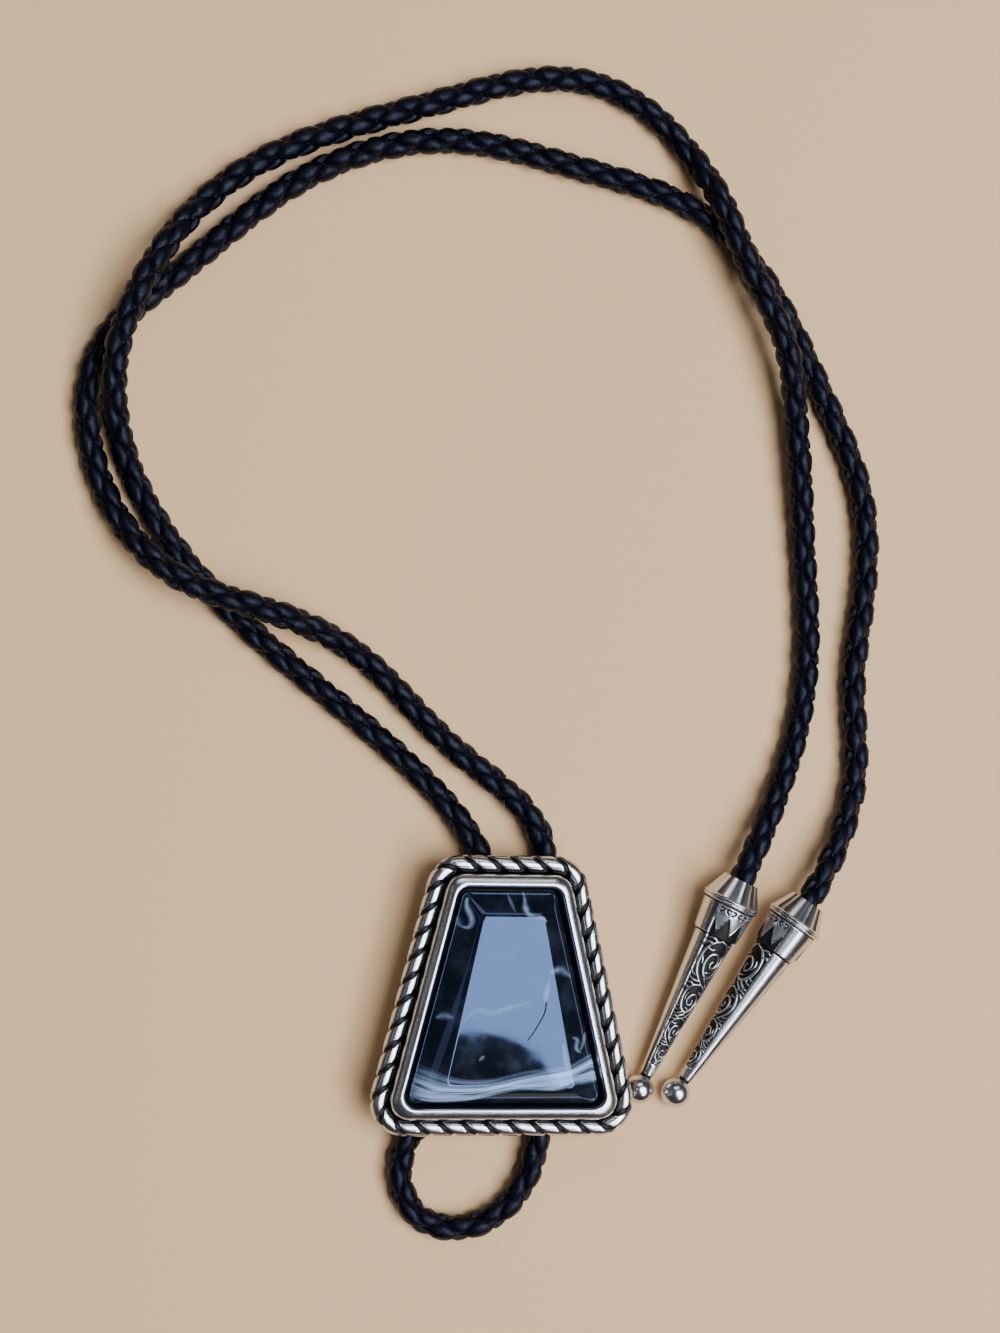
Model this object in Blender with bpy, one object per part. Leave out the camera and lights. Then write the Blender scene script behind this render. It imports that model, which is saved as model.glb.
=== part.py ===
"""A bolo tie: a cast slide with a rope border and a cut stone, a clip behind it, a round cord
that runs from tip to tip in one length, and a cast tip on each end.

It lies on a flat surface at Z = 0, as it was put down. The origin is on that surface under the
middle of the slide, +Y runs up the slide towards its narrow end, and +Z is up. Sizes are metres.
"""
import math

import bmesh
import bpy
import numpy as np
from mathutils import Matrix, Vector

MM = 0.001
GAP = 0.3 * MM

# Slide: a trapezoid seen from above, given by its sharp corners before they are rounded.
SLIDE_HEIGHT = 46.9 * MM
SLIDE_TOP_HALF = 12.5 * MM
SLIDE_BOTTOM_HALF = 23.9 * MM
PLATE_BACK = 6.0 * MM
PLATE_BACK_INSET = 0.9 * MM
PLATE_EDGE_INSET = 0.35 * MM
PLATE_EDGE_HEIGHT = 6.35 * MM

# Rope border, a twisted rope half sunk in the plate. Insets are measured in from the slide's edge.
ROPE_RADIUS = 1.55 * MM
ROPE_AXIS_HEIGHT = 7.6 * MM
ROPE_CORNER_RADIUS = 4.4 * MM
ROPE_LOBES = 38
ROPE_LAY_PER_TURN = 7.8 * MM
ROPE_GROOVE_DEPTH = 0.5 * MM
ROPE_ANGLES = (-35, 0, 35, 65, 92, 118, 146)
# Each lobe has four stations: where it is along the lobe, and its share of the groove's depth.
LOBE_STATIONS = ((0.0, 1.0), (0.17, 0.12), (0.5, 0.0), (0.83, 0.12))

# Plain rim round the stone, from the groove to the recess: inset, height and corner radius.
RIM_SECTION = (
    (3.15 * MM, 7.80 * MM, 3.2 * MM),
    (3.95 * MM, 10.35 * MM, 2.8 * MM),
    (4.20 * MM, 10.80 * MM, 2.7 * MM),
    (4.50 * MM, 10.95 * MM, 2.5 * MM),
    (4.80 * MM, 10.80 * MM, 2.3 * MM),
    (5.08 * MM, 10.30 * MM, 2.1 * MM),
    (5.60 * MM, 9.30 * MM, 1.8 * MM),
    (5.60 * MM, 8.20 * MM, 1.8 * MM),
)
RECESS_INSET, RECESS_FLOOR, RECESS_CORNER_RADIUS = RIM_SECTION[-1]

# Stone: its edge follows the recess, and its flat table is a narrower trapezoid.
STONE_INSET = RECESS_INSET + GAP
STONE_CORNER_RADIUS = RECESS_CORNER_RADIUS - GAP
STONE_EDGE_TOP = 10.0 * MM
STONE_LIP_TOP = 10.25 * MM
STONE_LIP = 0.22 * MM
TABLE_TOP = 12.5 * MM
TABLE_LENGTH = 28.4 * MM
TABLE_TOP_HALF = 5.2 * MM
TABLE_BOTTOM_HALF = 11.0 * MM
TABLE_SHIFT = Vector((0.3 * MM, -0.5 * MM))
TABLE_CORNER_RADIUS = 1.1 * MM
STONE_CORNER_FACETS = 3

# Cord: its width, and how many points the tube takes from each stretch of the route.
CORD_RADIUS = 2.25 * MM
POINTS_PER_STRETCH = 2
CORD_BEVEL_RESOLUTION = 3

# Clip behind the slide: a trough of sheet, with a web between the two runs of cord.
CLIP_SHEET = 0.7 * MM
CLIP_OUTER_HALF = 8.6 * MM
CLIP_WEB_HALF = 0.5 * MM
CLIP_LOW_Y = -2.5 * MM
CLIP_HIGH_Y = 8.5 * MM

# Tips, turned about an axis that runs from the middle of the ball: distances along it, and radii.
TIP_SIDES = 40
BALL_RADIUS = 2.5 * MM
BALL_ANGLES = (-75, -60, -45, -30, -15, 0, 15, 30, 45, 60)
NECK = ((2.60 * MM, 0.95 * MM), (2.80 * MM, 1.05 * MM))
TAPER_START, TAPER_START_RADIUS = 2.95 * MM, 1.17 * MM
TAPER_END, TAPER_END_RADIUS = 29.1 * MM, 3.52 * MM
TAPER_STATIONS = 25
COLLAR_START, COLLAR_START_RADIUS = 29.35 * MM, 3.95 * MM
COLLAR_END, COLLAR_END_RADIUS = 34.7 * MM, 4.60 * MM
FLANGE = (
    (34.95 * MM, 4.45 * MM),
    (35.10 * MM, 4.85 * MM),
    (35.35 * MM, 5.05 * MM),
    (35.80 * MM, 5.05 * MM),
)
FLANGE_AT, FLANGE_RADIUS = FLANGE[2]
MOUTH_FACETS = 20
MOUTH_START, MOUTH_START_RADIUS = 36.1 * MM, 4.80 * MM
MOUTH_END, MOUTH_END_RADIUS = 39.7 * MM, 3.1 * MM
TIP_HOLE_RADIUS = CORD_RADIUS + 1.2 * GAP
TIP_HOLE_DEPTH = 6.0 * MM
TIP_LIFT = 0.02 * MM

# Relief on the tips. Two plain panels face each other, and two sunk panels lie between them, each
# with a winding stem and a curl in each of its bends, under a row of pointed leaves on the collar.
SUNK_PANEL_HALF = math.radians(57)
PANEL_EDGE = math.radians(6)
PANEL_DEPTH = 0.32 * MM
STEM_START_SHARE = 0.13
STEM_WAVES = 2.0
STEM_SWING = math.radians(33)
STEM_HALF = math.radians(15)
CURL_SWING = math.radians(17)
CURL_HALF = math.radians(21)
LEAF_PITCH = math.radians(36)
LEAVES_IN_PANEL = 3
LEAF_STATIONS = (0.12, 0.35, 0.58, 0.78)

# How the tips lie: the middle of each ball, the way the tip points from its ball to its mouth, and
# how far its plain panel is rolled up from the side that lies to the left of that way.
LEFT_TIP = ((24.5 * MM, -16.5 * MM), (0.411, 0.912), math.radians(20))
RIGHT_TIP = ((30.9 * MM, -17.1 * MM), (0.549, 0.836), math.radians(110))

# The cord's route between the two mouths, in millimetres: X, Y and the height of its middle.
# It lies at 2.3, and rises to 7.15 where it passes over itself.
ROUTE_MM = (
    (49.9, 41.8, 2.3), (52.2, 58.0, 2.3), (51.3, 74.0, 2.3), (49.1, 94.8, 4.0),
    (45.3, 112.1, 7.15), (37.8, 126.5, 7.15), (35.2, 132.0, 7.15), (26.2, 146.6, 2.3),
    (11.6, 154.5, 2.3), (-13.1, 150.1, 2.3), (-50.5, 133.2, 2.3), (-62.2, 117.7, 7.15),
    (-66.9, 104.0, 7.15), (-63.8, 85.1, 2.3), (-49.7, 65.4, 2.3), (-14.4, 35.9, 2.3),
    (-3.1, 19.6, 3.25), (-4.9, 1.1, 3.25), (-9.1, -16.3, 2.9), (-16.1, -28.2, 2.3),
    (-13.2, -37.6, 2.3), (-4.3, -39.6, 2.3), (3.9, -34.0, 2.3), (7.1, -23.0, 2.8),
    (4.2, 1.2, 3.25), (6.1, 26.5, 3.0), (-9.2, 41.1, 2.3), (-25.9, 56.5, 2.3),
    (-41.8, 63.3, 7.15), (-55.8, 68.1, 7.15), (-69.6, 85.5, 2.3), (-69.7, 105.1, 2.3),
    (-57.8, 118.0, 2.3), (-36.5, 135.6, 2.3), (-12.5, 143.2, 2.3), (10.0, 139.9, 2.3),
    (32.7, 132.6, 2.3), (54.3, 102.4, 2.3), (61.2, 86.3, 2.3), (62.2, 69.9, 2.3),
    (60.7, 53.4, 2.3), (61.4, 37.6, 2.3),
)

SHARP = math.radians(35)


def clear_scene():
    """Remove whatever the file starts with."""
    for obj in list(bpy.data.objects):
        bpy.data.objects.remove(obj, do_unlink=True)


def material(name, colour, metallic, roughness):
    """One plain Principled material."""
    mat = bpy.data.materials.new(name)
    mat.use_nodes = True
    shader = mat.node_tree.nodes["Principled BSDF"]
    shader.inputs["Base Color"].default_value = (*colour, 1.0)
    shader.inputs["Metallic"].default_value = metallic
    shader.inputs["Roughness"].default_value = roughness
    return mat


def add_object(name, data, mat, parent):
    """Put a mesh or curve in the scene under its own name."""
    obj = bpy.data.objects.new(name, data)
    bpy.context.collection.objects.link(obj)
    if not data.materials:
        data.materials.append(mat)
    obj.parent = parent
    return obj


def lofted_mesh(name, rings, sharp=SHARP):
    """Skin rings of equally many points in order, and close both ends with flat faces."""
    bm = bmesh.new()
    rows = [[bm.verts.new(point) for point in ring] for ring in rings]
    for row, following in zip(rows, rows[1:]):
        for i in range(len(row)):
            j = (i + 1) % len(row)
            bm.faces.new((row[i], row[j], following[j], following[i]))
    bm.faces.new(rows[0][::-1])
    bm.faces.new(rows[-1])
    bmesh.ops.recalc_face_normals(bm, faces=bm.faces)
    mesh = bpy.data.meshes.new(name)
    bm.to_mesh(mesh)
    bm.free()
    mesh.shade_smooth()
    mesh.set_sharp_from_angle(angle=sharp)
    return mesh


def slide_corners(inset):
    """The slide's four sharp corners moved in by an inset, clockwise from the top left."""
    slope = (SLIDE_BOTTOM_HALF - SLIDE_TOP_HALF) / SLIDE_HEIGHT
    sideways = inset * math.hypot(1.0, slope)
    top = SLIDE_TOP_HALF + slope * inset - sideways
    bottom = SLIDE_BOTTOM_HALF - slope * inset - sideways
    y = SLIDE_HEIGHT / 2 - inset
    return [Vector(c) for c in ((-top, y), (top, y), (bottom, -y), (-bottom, -y))]


def table_corners():
    """The four sharp corners of the stone's table."""
    y = TABLE_LENGTH / 2
    corners = ((-TABLE_TOP_HALF, y), (TABLE_TOP_HALF, y), (TABLE_BOTTOM_HALF, -y), (-TABLE_BOTTOM_HALF, -y))
    return [Vector(c) + TABLE_SHIFT for c in corners]


class Outline:
    """A polygon with rounded corners, walked clockwise: a straight side, then its corner's arc."""

    def __init__(self, corners, radius):
        self.pieces = []
        count = len(corners)
        for i in range(count):
            before = corners[i]
            corner = corners[(i + 1) % count]
            after = corners[(i + 2) % count]
            along = (corner - before).normalized()
            onward = (after - corner).normalized()
            turn = along.angle(onward)
            start_cut = radius * math.tan(self.turn_at(corners, i) / 2)
            end_cut = radius * math.tan(turn / 2)
            start = before + along * start_cut
            end = corner - along * end_cut
            centre = end + Vector((along.y, -along.x)) * radius
            self.pieces.append(((end - start).length, start, end, None))
            self.pieces.append((radius * turn, centre, end - centre, turn))
        self.length = sum(piece[0] for piece in self.pieces)

    @staticmethod
    def turn_at(corners, i):
        """The angle that the outline turns through at a corner."""
        incoming = corners[i] - corners[i - 1]
        outgoing = corners[(i + 1) % len(corners)] - corners[i]
        return incoming.angle(outgoing)

    def locate(self, distance):
        """The piece that a distance along the outline falls on, and the share of it passed."""
        distance %= self.length
        for index, piece in enumerate(self.pieces):
            if distance <= piece[0]:
                return index, distance / piece[0]
            distance -= piece[0]
        return len(self.pieces) - 1, 1.0

    def point(self, index, share):
        """The point at a share of one piece."""
        _, first, second, turn = self.pieces[index]
        if turn is None:
            return first.lerp(second, share)
        angle = -turn * share
        cosine, sine = math.cos(angle), math.sin(angle)
        return first + Vector((cosine * second.x - sine * second.y, sine * second.x + cosine * second.y))


def rope_rings(spine):
    """Rings over the rope border, each turned on along the rope by its lay."""
    lobe = spine.length / ROPE_LOBES
    rings = []
    for angle in ROPE_ANGLES:
        turned = math.radians(angle)
        onward = ROPE_LAY_PER_TURN * turned / math.tau
        ring = []
        for number in range(ROPE_LOBES):
            for along, depth in LOBE_STATIONS:
                radius = ROPE_RADIUS - ROPE_GROOVE_DEPTH * depth
                inset = ROPE_RADIUS - radius * math.cos(turned)
                height = ROPE_AXIS_HEIGHT + radius * math.sin(turned)
                place = spine.locate((number + along) * lobe + onward)
                outline = Outline(slide_corners(inset), ROPE_CORNER_RADIUS + ROPE_RADIUS - inset)
                ring.append((*outline.point(*place), height))
        rings.append(ring)
    return rings


def plain_ring(spine, inset, height, corner_radius, onward):
    """A ring at one inset and height, with its points where the rope's are."""
    lobe = spine.length / ROPE_LOBES
    outline = Outline(slide_corners(inset), corner_radius)
    ring = []
    for number in range(ROPE_LOBES):
        for along, _ in LOBE_STATIONS:
            place = spine.locate((number + along) * lobe + onward)
            ring.append((*outline.point(*place), height))
    return ring


def slide_frame_mesh():
    """The slide's one casting: plate, rope border, plain rim and the recess for the stone."""
    spine = Outline(slide_corners(ROPE_RADIUS), ROPE_CORNER_RADIUS)
    outer = ROPE_LAY_PER_TURN * ROPE_ANGLES[0] / 360
    inner = ROPE_LAY_PER_TURN * ROPE_ANGLES[-1] / 360
    edge_radius = ROPE_CORNER_RADIUS + ROPE_RADIUS
    rings = [
        plain_ring(spine, PLATE_BACK_INSET, PLATE_BACK, edge_radius - PLATE_BACK_INSET, outer),
        plain_ring(spine, PLATE_EDGE_INSET, PLATE_EDGE_HEIGHT, edge_radius - PLATE_EDGE_INSET, outer),
    ]
    rings += rope_rings(spine)
    rings += [plain_ring(spine, *section, inner) for section in RIM_SECTION]
    return lofted_mesh("slide_frame", rings)


def facet_ring(corners, radius, height):
    """A ring that has points only round its corners, so that its sides are single facets."""
    outline = Outline(corners, radius)
    ring = []
    for index in range(1, len(outline.pieces), 2):
        for step in range(STONE_CORNER_FACETS + 1):
            ring.append((*outline.point(index, step / STONE_CORNER_FACETS), height))
    return ring


def stone_mesh():
    """The cut stone: an upright edge, a narrow lip, a bevel with faceted corners and a flat table."""
    edge = slide_corners(STONE_INSET)
    lip = slide_corners(STONE_INSET + STONE_LIP)
    rings = [
        facet_ring(edge, STONE_CORNER_RADIUS, RECESS_FLOOR + GAP),
        facet_ring(edge, STONE_CORNER_RADIUS, STONE_EDGE_TOP),
        facet_ring(lip, STONE_CORNER_RADIUS, STONE_LIP_TOP),
        facet_ring(table_corners(), TABLE_CORNER_RADIUS, TABLE_TOP),
    ]
    return lofted_mesh("stone", rings, sharp=math.radians(8))


def clip_mesh():
    """The clip: a flat trough with two side walls and a middle web, open towards the plate."""
    top = PLATE_BACK - GAP
    inner = CLIP_OUTER_HALF - CLIP_SHEET
    section = (
        (-CLIP_OUTER_HALF, 0.0), (CLIP_OUTER_HALF, 0.0), (CLIP_OUTER_HALF, top), (inner, top),
        (inner, CLIP_SHEET), (CLIP_WEB_HALF, CLIP_SHEET), (CLIP_WEB_HALF, top), (-CLIP_WEB_HALF, top),
        (-CLIP_WEB_HALF, CLIP_SHEET), (-inner, CLIP_SHEET), (-inner, top), (-CLIP_OUTER_HALF, top),
    )
    rings = [[(x, y, z) for x, z in section] for y in (CLIP_LOW_Y, CLIP_HIGH_Y)]
    return lofted_mesh("cord_clip", rings)


def ring_about_axis(distance, radius_at):
    """A ring of the tip, whose radius is given for each angle about the axis."""
    ring = []
    for side in range(TIP_SIDES):
        angle = math.tau * side / TIP_SIDES
        radius = radius_at(angle)
        ring.append((radius * math.cos(angle), radius * math.sin(angle), distance))
    return ring


def round_ring(distance, radius):
    """A plain turned ring."""
    return ring_about_axis(distance, lambda angle: radius)


def faceted_ring(distance, radius):
    """A ring on the mouth's flat facets."""
    half = math.pi / MOUTH_FACETS

    def radius_at(angle):
        return radius * math.cos(half) / math.cos(angle % (2 * half) - half)

    return ring_about_axis(distance, radius_at)


def from_panel_middle(angle):
    """The angle from the middle of the nearer sunk panel."""
    return angle % math.pi - math.pi / 2


def sunk(offset):
    """How far into a sunk panel a place is: 0 on the plain panels, 1 on the panel's ground."""
    share = (SUNK_PANEL_HALF - abs(offset)) / PANEL_EDGE
    return min(1.0, max(0.0, share))


def scroll_ring(share):
    """A ring of the taper. Its places and the stem's bends grow with the radius, by equal ratios."""
    radius = TAPER_START_RADIUS * (TAPER_END_RADIUS / TAPER_START_RADIUS) ** share
    passed = (radius - TAPER_START_RADIUS) / (TAPER_END_RADIUS - TAPER_START_RADIUS)
    distance = TAPER_START + passed * (TAPER_END - TAPER_START)
    if share < STEM_START_SHARE:
        return round_ring(distance, radius)
    phase = math.tau * STEM_WAVES * (share - STEM_START_SHARE) / (1.0 - STEM_START_SHARE)
    bend = math.sin(phase)
    stem = STEM_SWING * bend
    curl = math.copysign(CURL_SWING, -bend)

    def radius_at(angle):
        offset = from_panel_middle(angle)
        stem_rise = 1.0 - ((offset - stem) / STEM_HALF) ** 2
        curl_rise = abs(bend) - ((offset - curl) / CURL_HALF) ** 2
        rise = max(0.0, stem_rise, curl_rise)
        return radius - PANEL_DEPTH * sunk(offset) * (1.0 - rise)

    return ring_about_axis(distance, radius_at)


def leaf_ring(share):
    """A ring of the collar, cut by its leaves, whose points are at its low edge."""
    distance = COLLAR_START + share * (COLLAR_END - COLLAR_START)
    radius = COLLAR_START_RADIUS + share * (COLLAR_END_RADIUS - COLLAR_START_RADIUS)
    leaf_half = LEAF_PITCH / 2

    def radius_at(angle):
        offset = from_panel_middle(angle)
        if abs(offset) > LEAVES_IN_PANEL * leaf_half:
            return radius
        from_leaf = abs((offset + leaf_half) % LEAF_PITCH - leaf_half) / leaf_half
        cut = min(1.0, max(0.0, 2.0 * (from_leaf - share)))
        return radius - PANEL_DEPTH * cut

    return ring_about_axis(distance, radius_at)


def tip_mesh():
    """A cast tip: ball, neck, taper, collar, flange, and a faceted mouth with the cord's hole."""
    rings = []
    for angle in BALL_ANGLES:
        lean = math.radians(angle)
        rings.append(round_ring(BALL_RADIUS * math.sin(lean), BALL_RADIUS * math.cos(lean)))
    rings += [round_ring(*station) for station in NECK]
    rings += [scroll_ring(number / TAPER_STATIONS) for number in range(TAPER_STATIONS + 1)]
    rings.append(round_ring(COLLAR_START, COLLAR_START_RADIUS))
    rings += [leaf_ring(share) for share in LEAF_STATIONS]
    rings.append(round_ring(COLLAR_END, COLLAR_END_RADIUS))
    rings += [round_ring(*station) for station in FLANGE]
    rings.append(faceted_ring(MOUTH_START, MOUTH_START_RADIUS))
    rings.append(faceted_ring(MOUTH_END, MOUTH_END_RADIUS))
    rings.append(round_ring(MOUTH_END, TIP_HOLE_RADIUS))
    rings.append(round_ring(MOUTH_END - TIP_HOLE_DEPTH, TIP_HOLE_RADIUS))
    return lofted_mesh("tip", rings, sharp=math.radians(17))


def tip_pose(ball, heading, roll):
    """The tip's place: it rests on its ball and its flange, rolled about its own axis."""
    slope = math.atan2(FLANGE_RADIUS - BALL_RADIUS, FLANGE_AT)
    flat = Vector((*heading, 0.0)).normalized()
    axis = flat * math.cos(slope) + Vector((0.0, 0.0, math.sin(slope)))
    across = Vector((0.0, 0.0, 1.0)).cross(flat)
    upward = axis.cross(across)
    turn = Matrix((across, upward, axis)).transposed()
    centre = Vector((*ball, BALL_RADIUS + TIP_LIFT))
    return Matrix.Translation(centre) @ turn.to_4x4() @ Matrix.Rotation(roll, 4, "Z")


def cord_route(left, right):
    """The route's points from the bottom of one hole to the bottom of the other."""
    seat = Vector((0.0, 0.0, MOUTH_END - TIP_HOLE_DEPTH + GAP))
    mouth = Vector((0.0, 0.0, MOUTH_END))
    route = [left @ seat, left @ mouth]
    route += [Vector(point) * MM for point in ROUTE_MM]
    route += [right @ mouth, right @ seat]
    return np.array(route)


def spline_bends(points, spans):
    """Second derivatives of the natural cubic spline through points, at each point."""
    count = len(points)
    system = np.eye(count)
    target = np.zeros_like(points)
    for i in range(1, count - 1):
        before, after = spans[i - 1], spans[i]
        system[i, i - 1:i + 2] = before, 2 * (before + after), after
        slope_change = (points[i + 1] - points[i]) / after - (points[i] - points[i - 1]) / before
        target[i] = 6 * slope_change
    return np.linalg.solve(system, target)


def cord_points(route):
    """Points on a smooth curve through the route. The height eases from point to point."""
    spans = np.linalg.norm(np.diff(route, axis=0), axis=1)
    bends = spline_bends(route, spans)
    points = []
    last = len(route) - 2
    for i in range(last + 1):
        steps = 1 if i in (0, last) else POINTS_PER_STRETCH
        for step in range(steps):
            b = step / steps
            a = 1 - b
            bend = ((a ** 3 - a) * bends[i] + (b ** 3 - b) * bends[i + 1]) * spans[i] ** 2 / 6
            point = a * route[i] + b * route[i + 1] + bend
            eased = b * b * (3 - 2 * b)
            point[2] = route[i][2] + (route[i + 1][2] - route[i][2]) * eased
            points.append(point)
    points.append(route[-1])
    return points


def cord_curve(points):
    """The cord as one round tube with closed ends."""
    curve = bpy.data.curves.new("cord", "CURVE")
    curve.dimensions = "3D"
    curve.bevel_depth = CORD_RADIUS
    curve.bevel_resolution = CORD_BEVEL_RESOLUTION
    curve.use_fill_caps = True
    spline = curve.splines.new("POLY")
    spline.points.add(len(points) - 1)
    for target, point in zip(spline.points, points):
        target.co = (*point, 1.0)
        target.radius = 1.0
    spline.use_smooth = True
    return curve


def build():
    """Make every piece under one empty."""
    clear_scene()
    silver = material("antique_silver", (0.62, 0.61, 0.58), 1.0, 0.3)
    steel = material("clip_steel", (0.45, 0.45, 0.46), 1.0, 0.4)
    black_stone = material("banded_black_stone", (0.012, 0.014, 0.02), 0.0, 0.06)
    leather = material("black_braid", (0.012, 0.012, 0.015), 0.0, 0.45)

    tie = bpy.data.objects.new("bolo_tie", None)
    bpy.context.collection.objects.link(tie)

    add_object("slide_frame", slide_frame_mesh(), silver, tie)
    add_object("stone", stone_mesh(), black_stone, tie)
    add_object("cord_clip", clip_mesh(), steel, tie)

    tip_shape = tip_mesh()
    poses = {}
    for name, place in {"tip_left": LEFT_TIP, "tip_right": RIGHT_TIP}.items():
        poses[name] = tip_pose(*place)
        tip = add_object(name, tip_shape, silver, tie)
        tip.location = poses[name].to_translation()
        tip.rotation_euler = poses[name].to_euler()

    route = cord_route(poses["tip_left"], poses["tip_right"])
    add_object("cord", cord_curve(cord_points(route)), leather, tie)


build()
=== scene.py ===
"""The looks of a bolo tie: a braided cord, a cast slide with a banded stone, and two engraved tips.

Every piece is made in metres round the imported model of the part, in the same frame: the tie lies on
Z = 0, +Y runs up the slide towards its narrow end, and the origin is under the middle of the slide.
"""

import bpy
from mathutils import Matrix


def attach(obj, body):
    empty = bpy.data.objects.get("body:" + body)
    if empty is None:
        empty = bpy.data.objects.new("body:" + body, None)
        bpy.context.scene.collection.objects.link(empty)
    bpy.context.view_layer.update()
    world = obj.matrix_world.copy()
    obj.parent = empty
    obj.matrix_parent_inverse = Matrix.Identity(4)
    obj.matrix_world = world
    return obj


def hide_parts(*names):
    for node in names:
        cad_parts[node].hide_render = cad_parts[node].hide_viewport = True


bl_info = {
    "name": "Bolo Tie",
    "version": (1, 0, 0),
    "blender": (4, 5, 0),
    "location": "View3D > Sidebar > Bolo Tie",
    "description": "Makes a bolo tie's braided cord, rope-edged slide, banded stone and engraved tips",
    "category": "Add Mesh",
}

import math

import bpy
import numpy as np
from bpy.props import FloatProperty, FloatVectorProperty, IntProperty, PointerProperty
from mathutils import Matrix, Vector

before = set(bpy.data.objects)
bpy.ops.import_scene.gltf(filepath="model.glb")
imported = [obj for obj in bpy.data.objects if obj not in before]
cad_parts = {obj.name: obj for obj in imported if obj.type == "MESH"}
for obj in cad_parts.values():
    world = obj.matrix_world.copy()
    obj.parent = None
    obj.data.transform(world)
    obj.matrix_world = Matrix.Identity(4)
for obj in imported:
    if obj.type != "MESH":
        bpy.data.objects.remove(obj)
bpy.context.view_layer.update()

MM = 0.001

# The cord's route between the mouths of its two tips, in millimetres.
ROUTE_MM = (
    (49.9, 41.8, 2.3), (52.2, 58.0, 2.3), (51.3, 74.0, 2.3), (49.1, 94.8, 4.0),
    (45.3, 112.1, 7.15), (37.8, 126.5, 7.15), (35.2, 132.0, 7.15), (26.2, 146.6, 2.3),
    (11.6, 154.5, 2.3), (-13.1, 150.1, 2.3), (-50.5, 133.2, 2.3), (-62.2, 117.7, 7.15),
    (-66.9, 104.0, 7.15), (-63.8, 85.1, 2.3), (-49.7, 65.4, 2.3), (-14.4, 35.9, 2.3),
    (-3.1, 19.6, 3.25), (-4.9, 1.1, 3.25), (-9.1, -16.3, 2.9), (-16.1, -28.2, 2.3),
    (-13.2, -37.6, 2.3), (-4.3, -39.6, 2.3), (3.9, -34.0, 2.3), (7.1, -23.0, 2.8),
    (4.2, 1.2, 3.25), (6.1, 26.5, 3.0), (-9.2, 41.1, 2.3), (-25.9, 56.5, 2.3),
    (-41.8, 63.3, 7.15), (-55.8, 68.1, 7.15), (-69.6, 85.5, 2.3), (-69.7, 105.1, 2.3),
    (-57.8, 118.0, 2.3), (-36.5, 135.6, 2.3), (-12.5, 143.2, 2.3), (10.0, 139.9, 2.3),
    (32.7, 132.6, 2.3), (54.3, 102.4, 2.3), (61.2, 86.3, 2.3), (62.2, 69.9, 2.3),
    (60.7, 53.4, 2.3), (61.4, 37.6, 2.3),
)

# How the tips lie: the middle of each ball, the way the tip points from its ball to its mouth, and
# how far its plain panel is rolled up from the side that lies to the left of that way.
TIPS = {
    "tip_left": ((24.5 * MM, -16.5 * MM), (0.411, 0.912), math.radians(20)),
    "tip_right": ((30.9 * MM, -17.1 * MM), (0.549, 0.836), math.radians(110)),
}
TIP_LIFT = 0.02 * MM


class CordSettings(bpy.types.PropertyGroup):
    """Sizes and colours of the braided cord."""

    diameter: FloatProperty(
        name="Diameter", description="Across the braid's highest points", default=4.5 * MM, subtype="DISTANCE")
    turn: FloatProperty(
        name="Turn", description="Length of cord in which a lace goes once round it", default=12.3 * MM,
        subtype="DISTANCE")
    lace_width: FloatProperty(
        name="Lace Width", description="Width of each of the four laces", default=3.1 * MM, subtype="DISTANCE")
    lace_thickness: FloatProperty(
        name="Lace Thickness", description="Thickness of each lace", default=1.1 * MM, subtype="DISTANCE")
    rise: FloatProperty(
        name="Rise", description="How far a lace rises and dips as it passes over and under", default=0.52 * MM,
        subtype="DISTANCE")
    colour: FloatVectorProperty(
        name="Colour", description="Colour of the dyed leather", default=(0.0012, 0.0014, 0.0034), size=3,
        min=0.0, max=1.0, subtype="COLOR")
    sheen: FloatVectorProperty(
        name="Sheen", description="Tint of the leather's highlights", default=(0.58, 0.66, 1.0), size=3,
        min=0.0, max=1.0, subtype="COLOR")


class MetalSettings(bpy.types.PropertyGroup):
    """Colours of the cast metal."""

    bright: FloatVectorProperty(
        name="Bright Metal", description="Colour of the polished places", default=(0.68, 0.7, 0.75), size=3,
        min=0.0, max=1.0, subtype="COLOR")
    tarnish: FloatVectorProperty(
        name="Tarnish", description="Colour of the blackened grooves", default=(0.006, 0.006, 0.007), size=3,
        min=0.0, max=1.0, subtype="COLOR")
    slide_roughness: FloatProperty(
        name="Slide Roughness", description="Roughness of the slide's polished places", default=0.22, min=0.0,
        max=1.0, subtype="FACTOR")
    tip_roughness: FloatProperty(
        name="Tip Roughness", description="Roughness of the tips' polished places", default=0.22, min=0.0,
        max=1.0, subtype="FACTOR")


class SlideSettings(bpy.types.PropertyGroup):
    """Sizes of the slide."""

    height: FloatProperty(
        name="Height", description="Height of the slide, seen from above", default=46.9 * MM,
        subtype="DISTANCE")
    top_half: FloatProperty(
        name="Top Half Width", description="Half the width at the sharp top corners", default=12.5 * MM,
        subtype="DISTANCE")
    bottom_half: FloatProperty(
        name="Bottom Half Width", description="Half the width at the sharp bottom corners", default=23.9 * MM,
        subtype="DISTANCE")
    lobes: IntProperty(
        name="Rope Lobes", description="Lobes of the twisted rope round the slide", default=38, min=8)
    groove: FloatProperty(
        name="Groove Depth", description="Depth of the grooves between the lobes", default=0.6 * MM,
        subtype="DISTANCE")


class StoneSettings(bpy.types.PropertyGroup):
    """Colours of the stone."""

    ground: FloatVectorProperty(
        name="Ground", description="Colour of the stone between its bands", default=(0.005, 0.0065, 0.011),
        size=3, min=0.0, max=1.0, subtype="COLOR")
    band: FloatVectorProperty(
        name="Bands", description="Colour of the stone's bands and wisps", default=(0.44, 0.62, 1.0), size=3,
        min=0.0, max=1.0, subtype="COLOR")
    shine: FloatVectorProperty(
        name="Shine", description="Tint of what the polish reflects", default=(0.31, 0.5, 1.0), size=3,
        min=0.0, max=1.0, subtype="COLOR")


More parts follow.
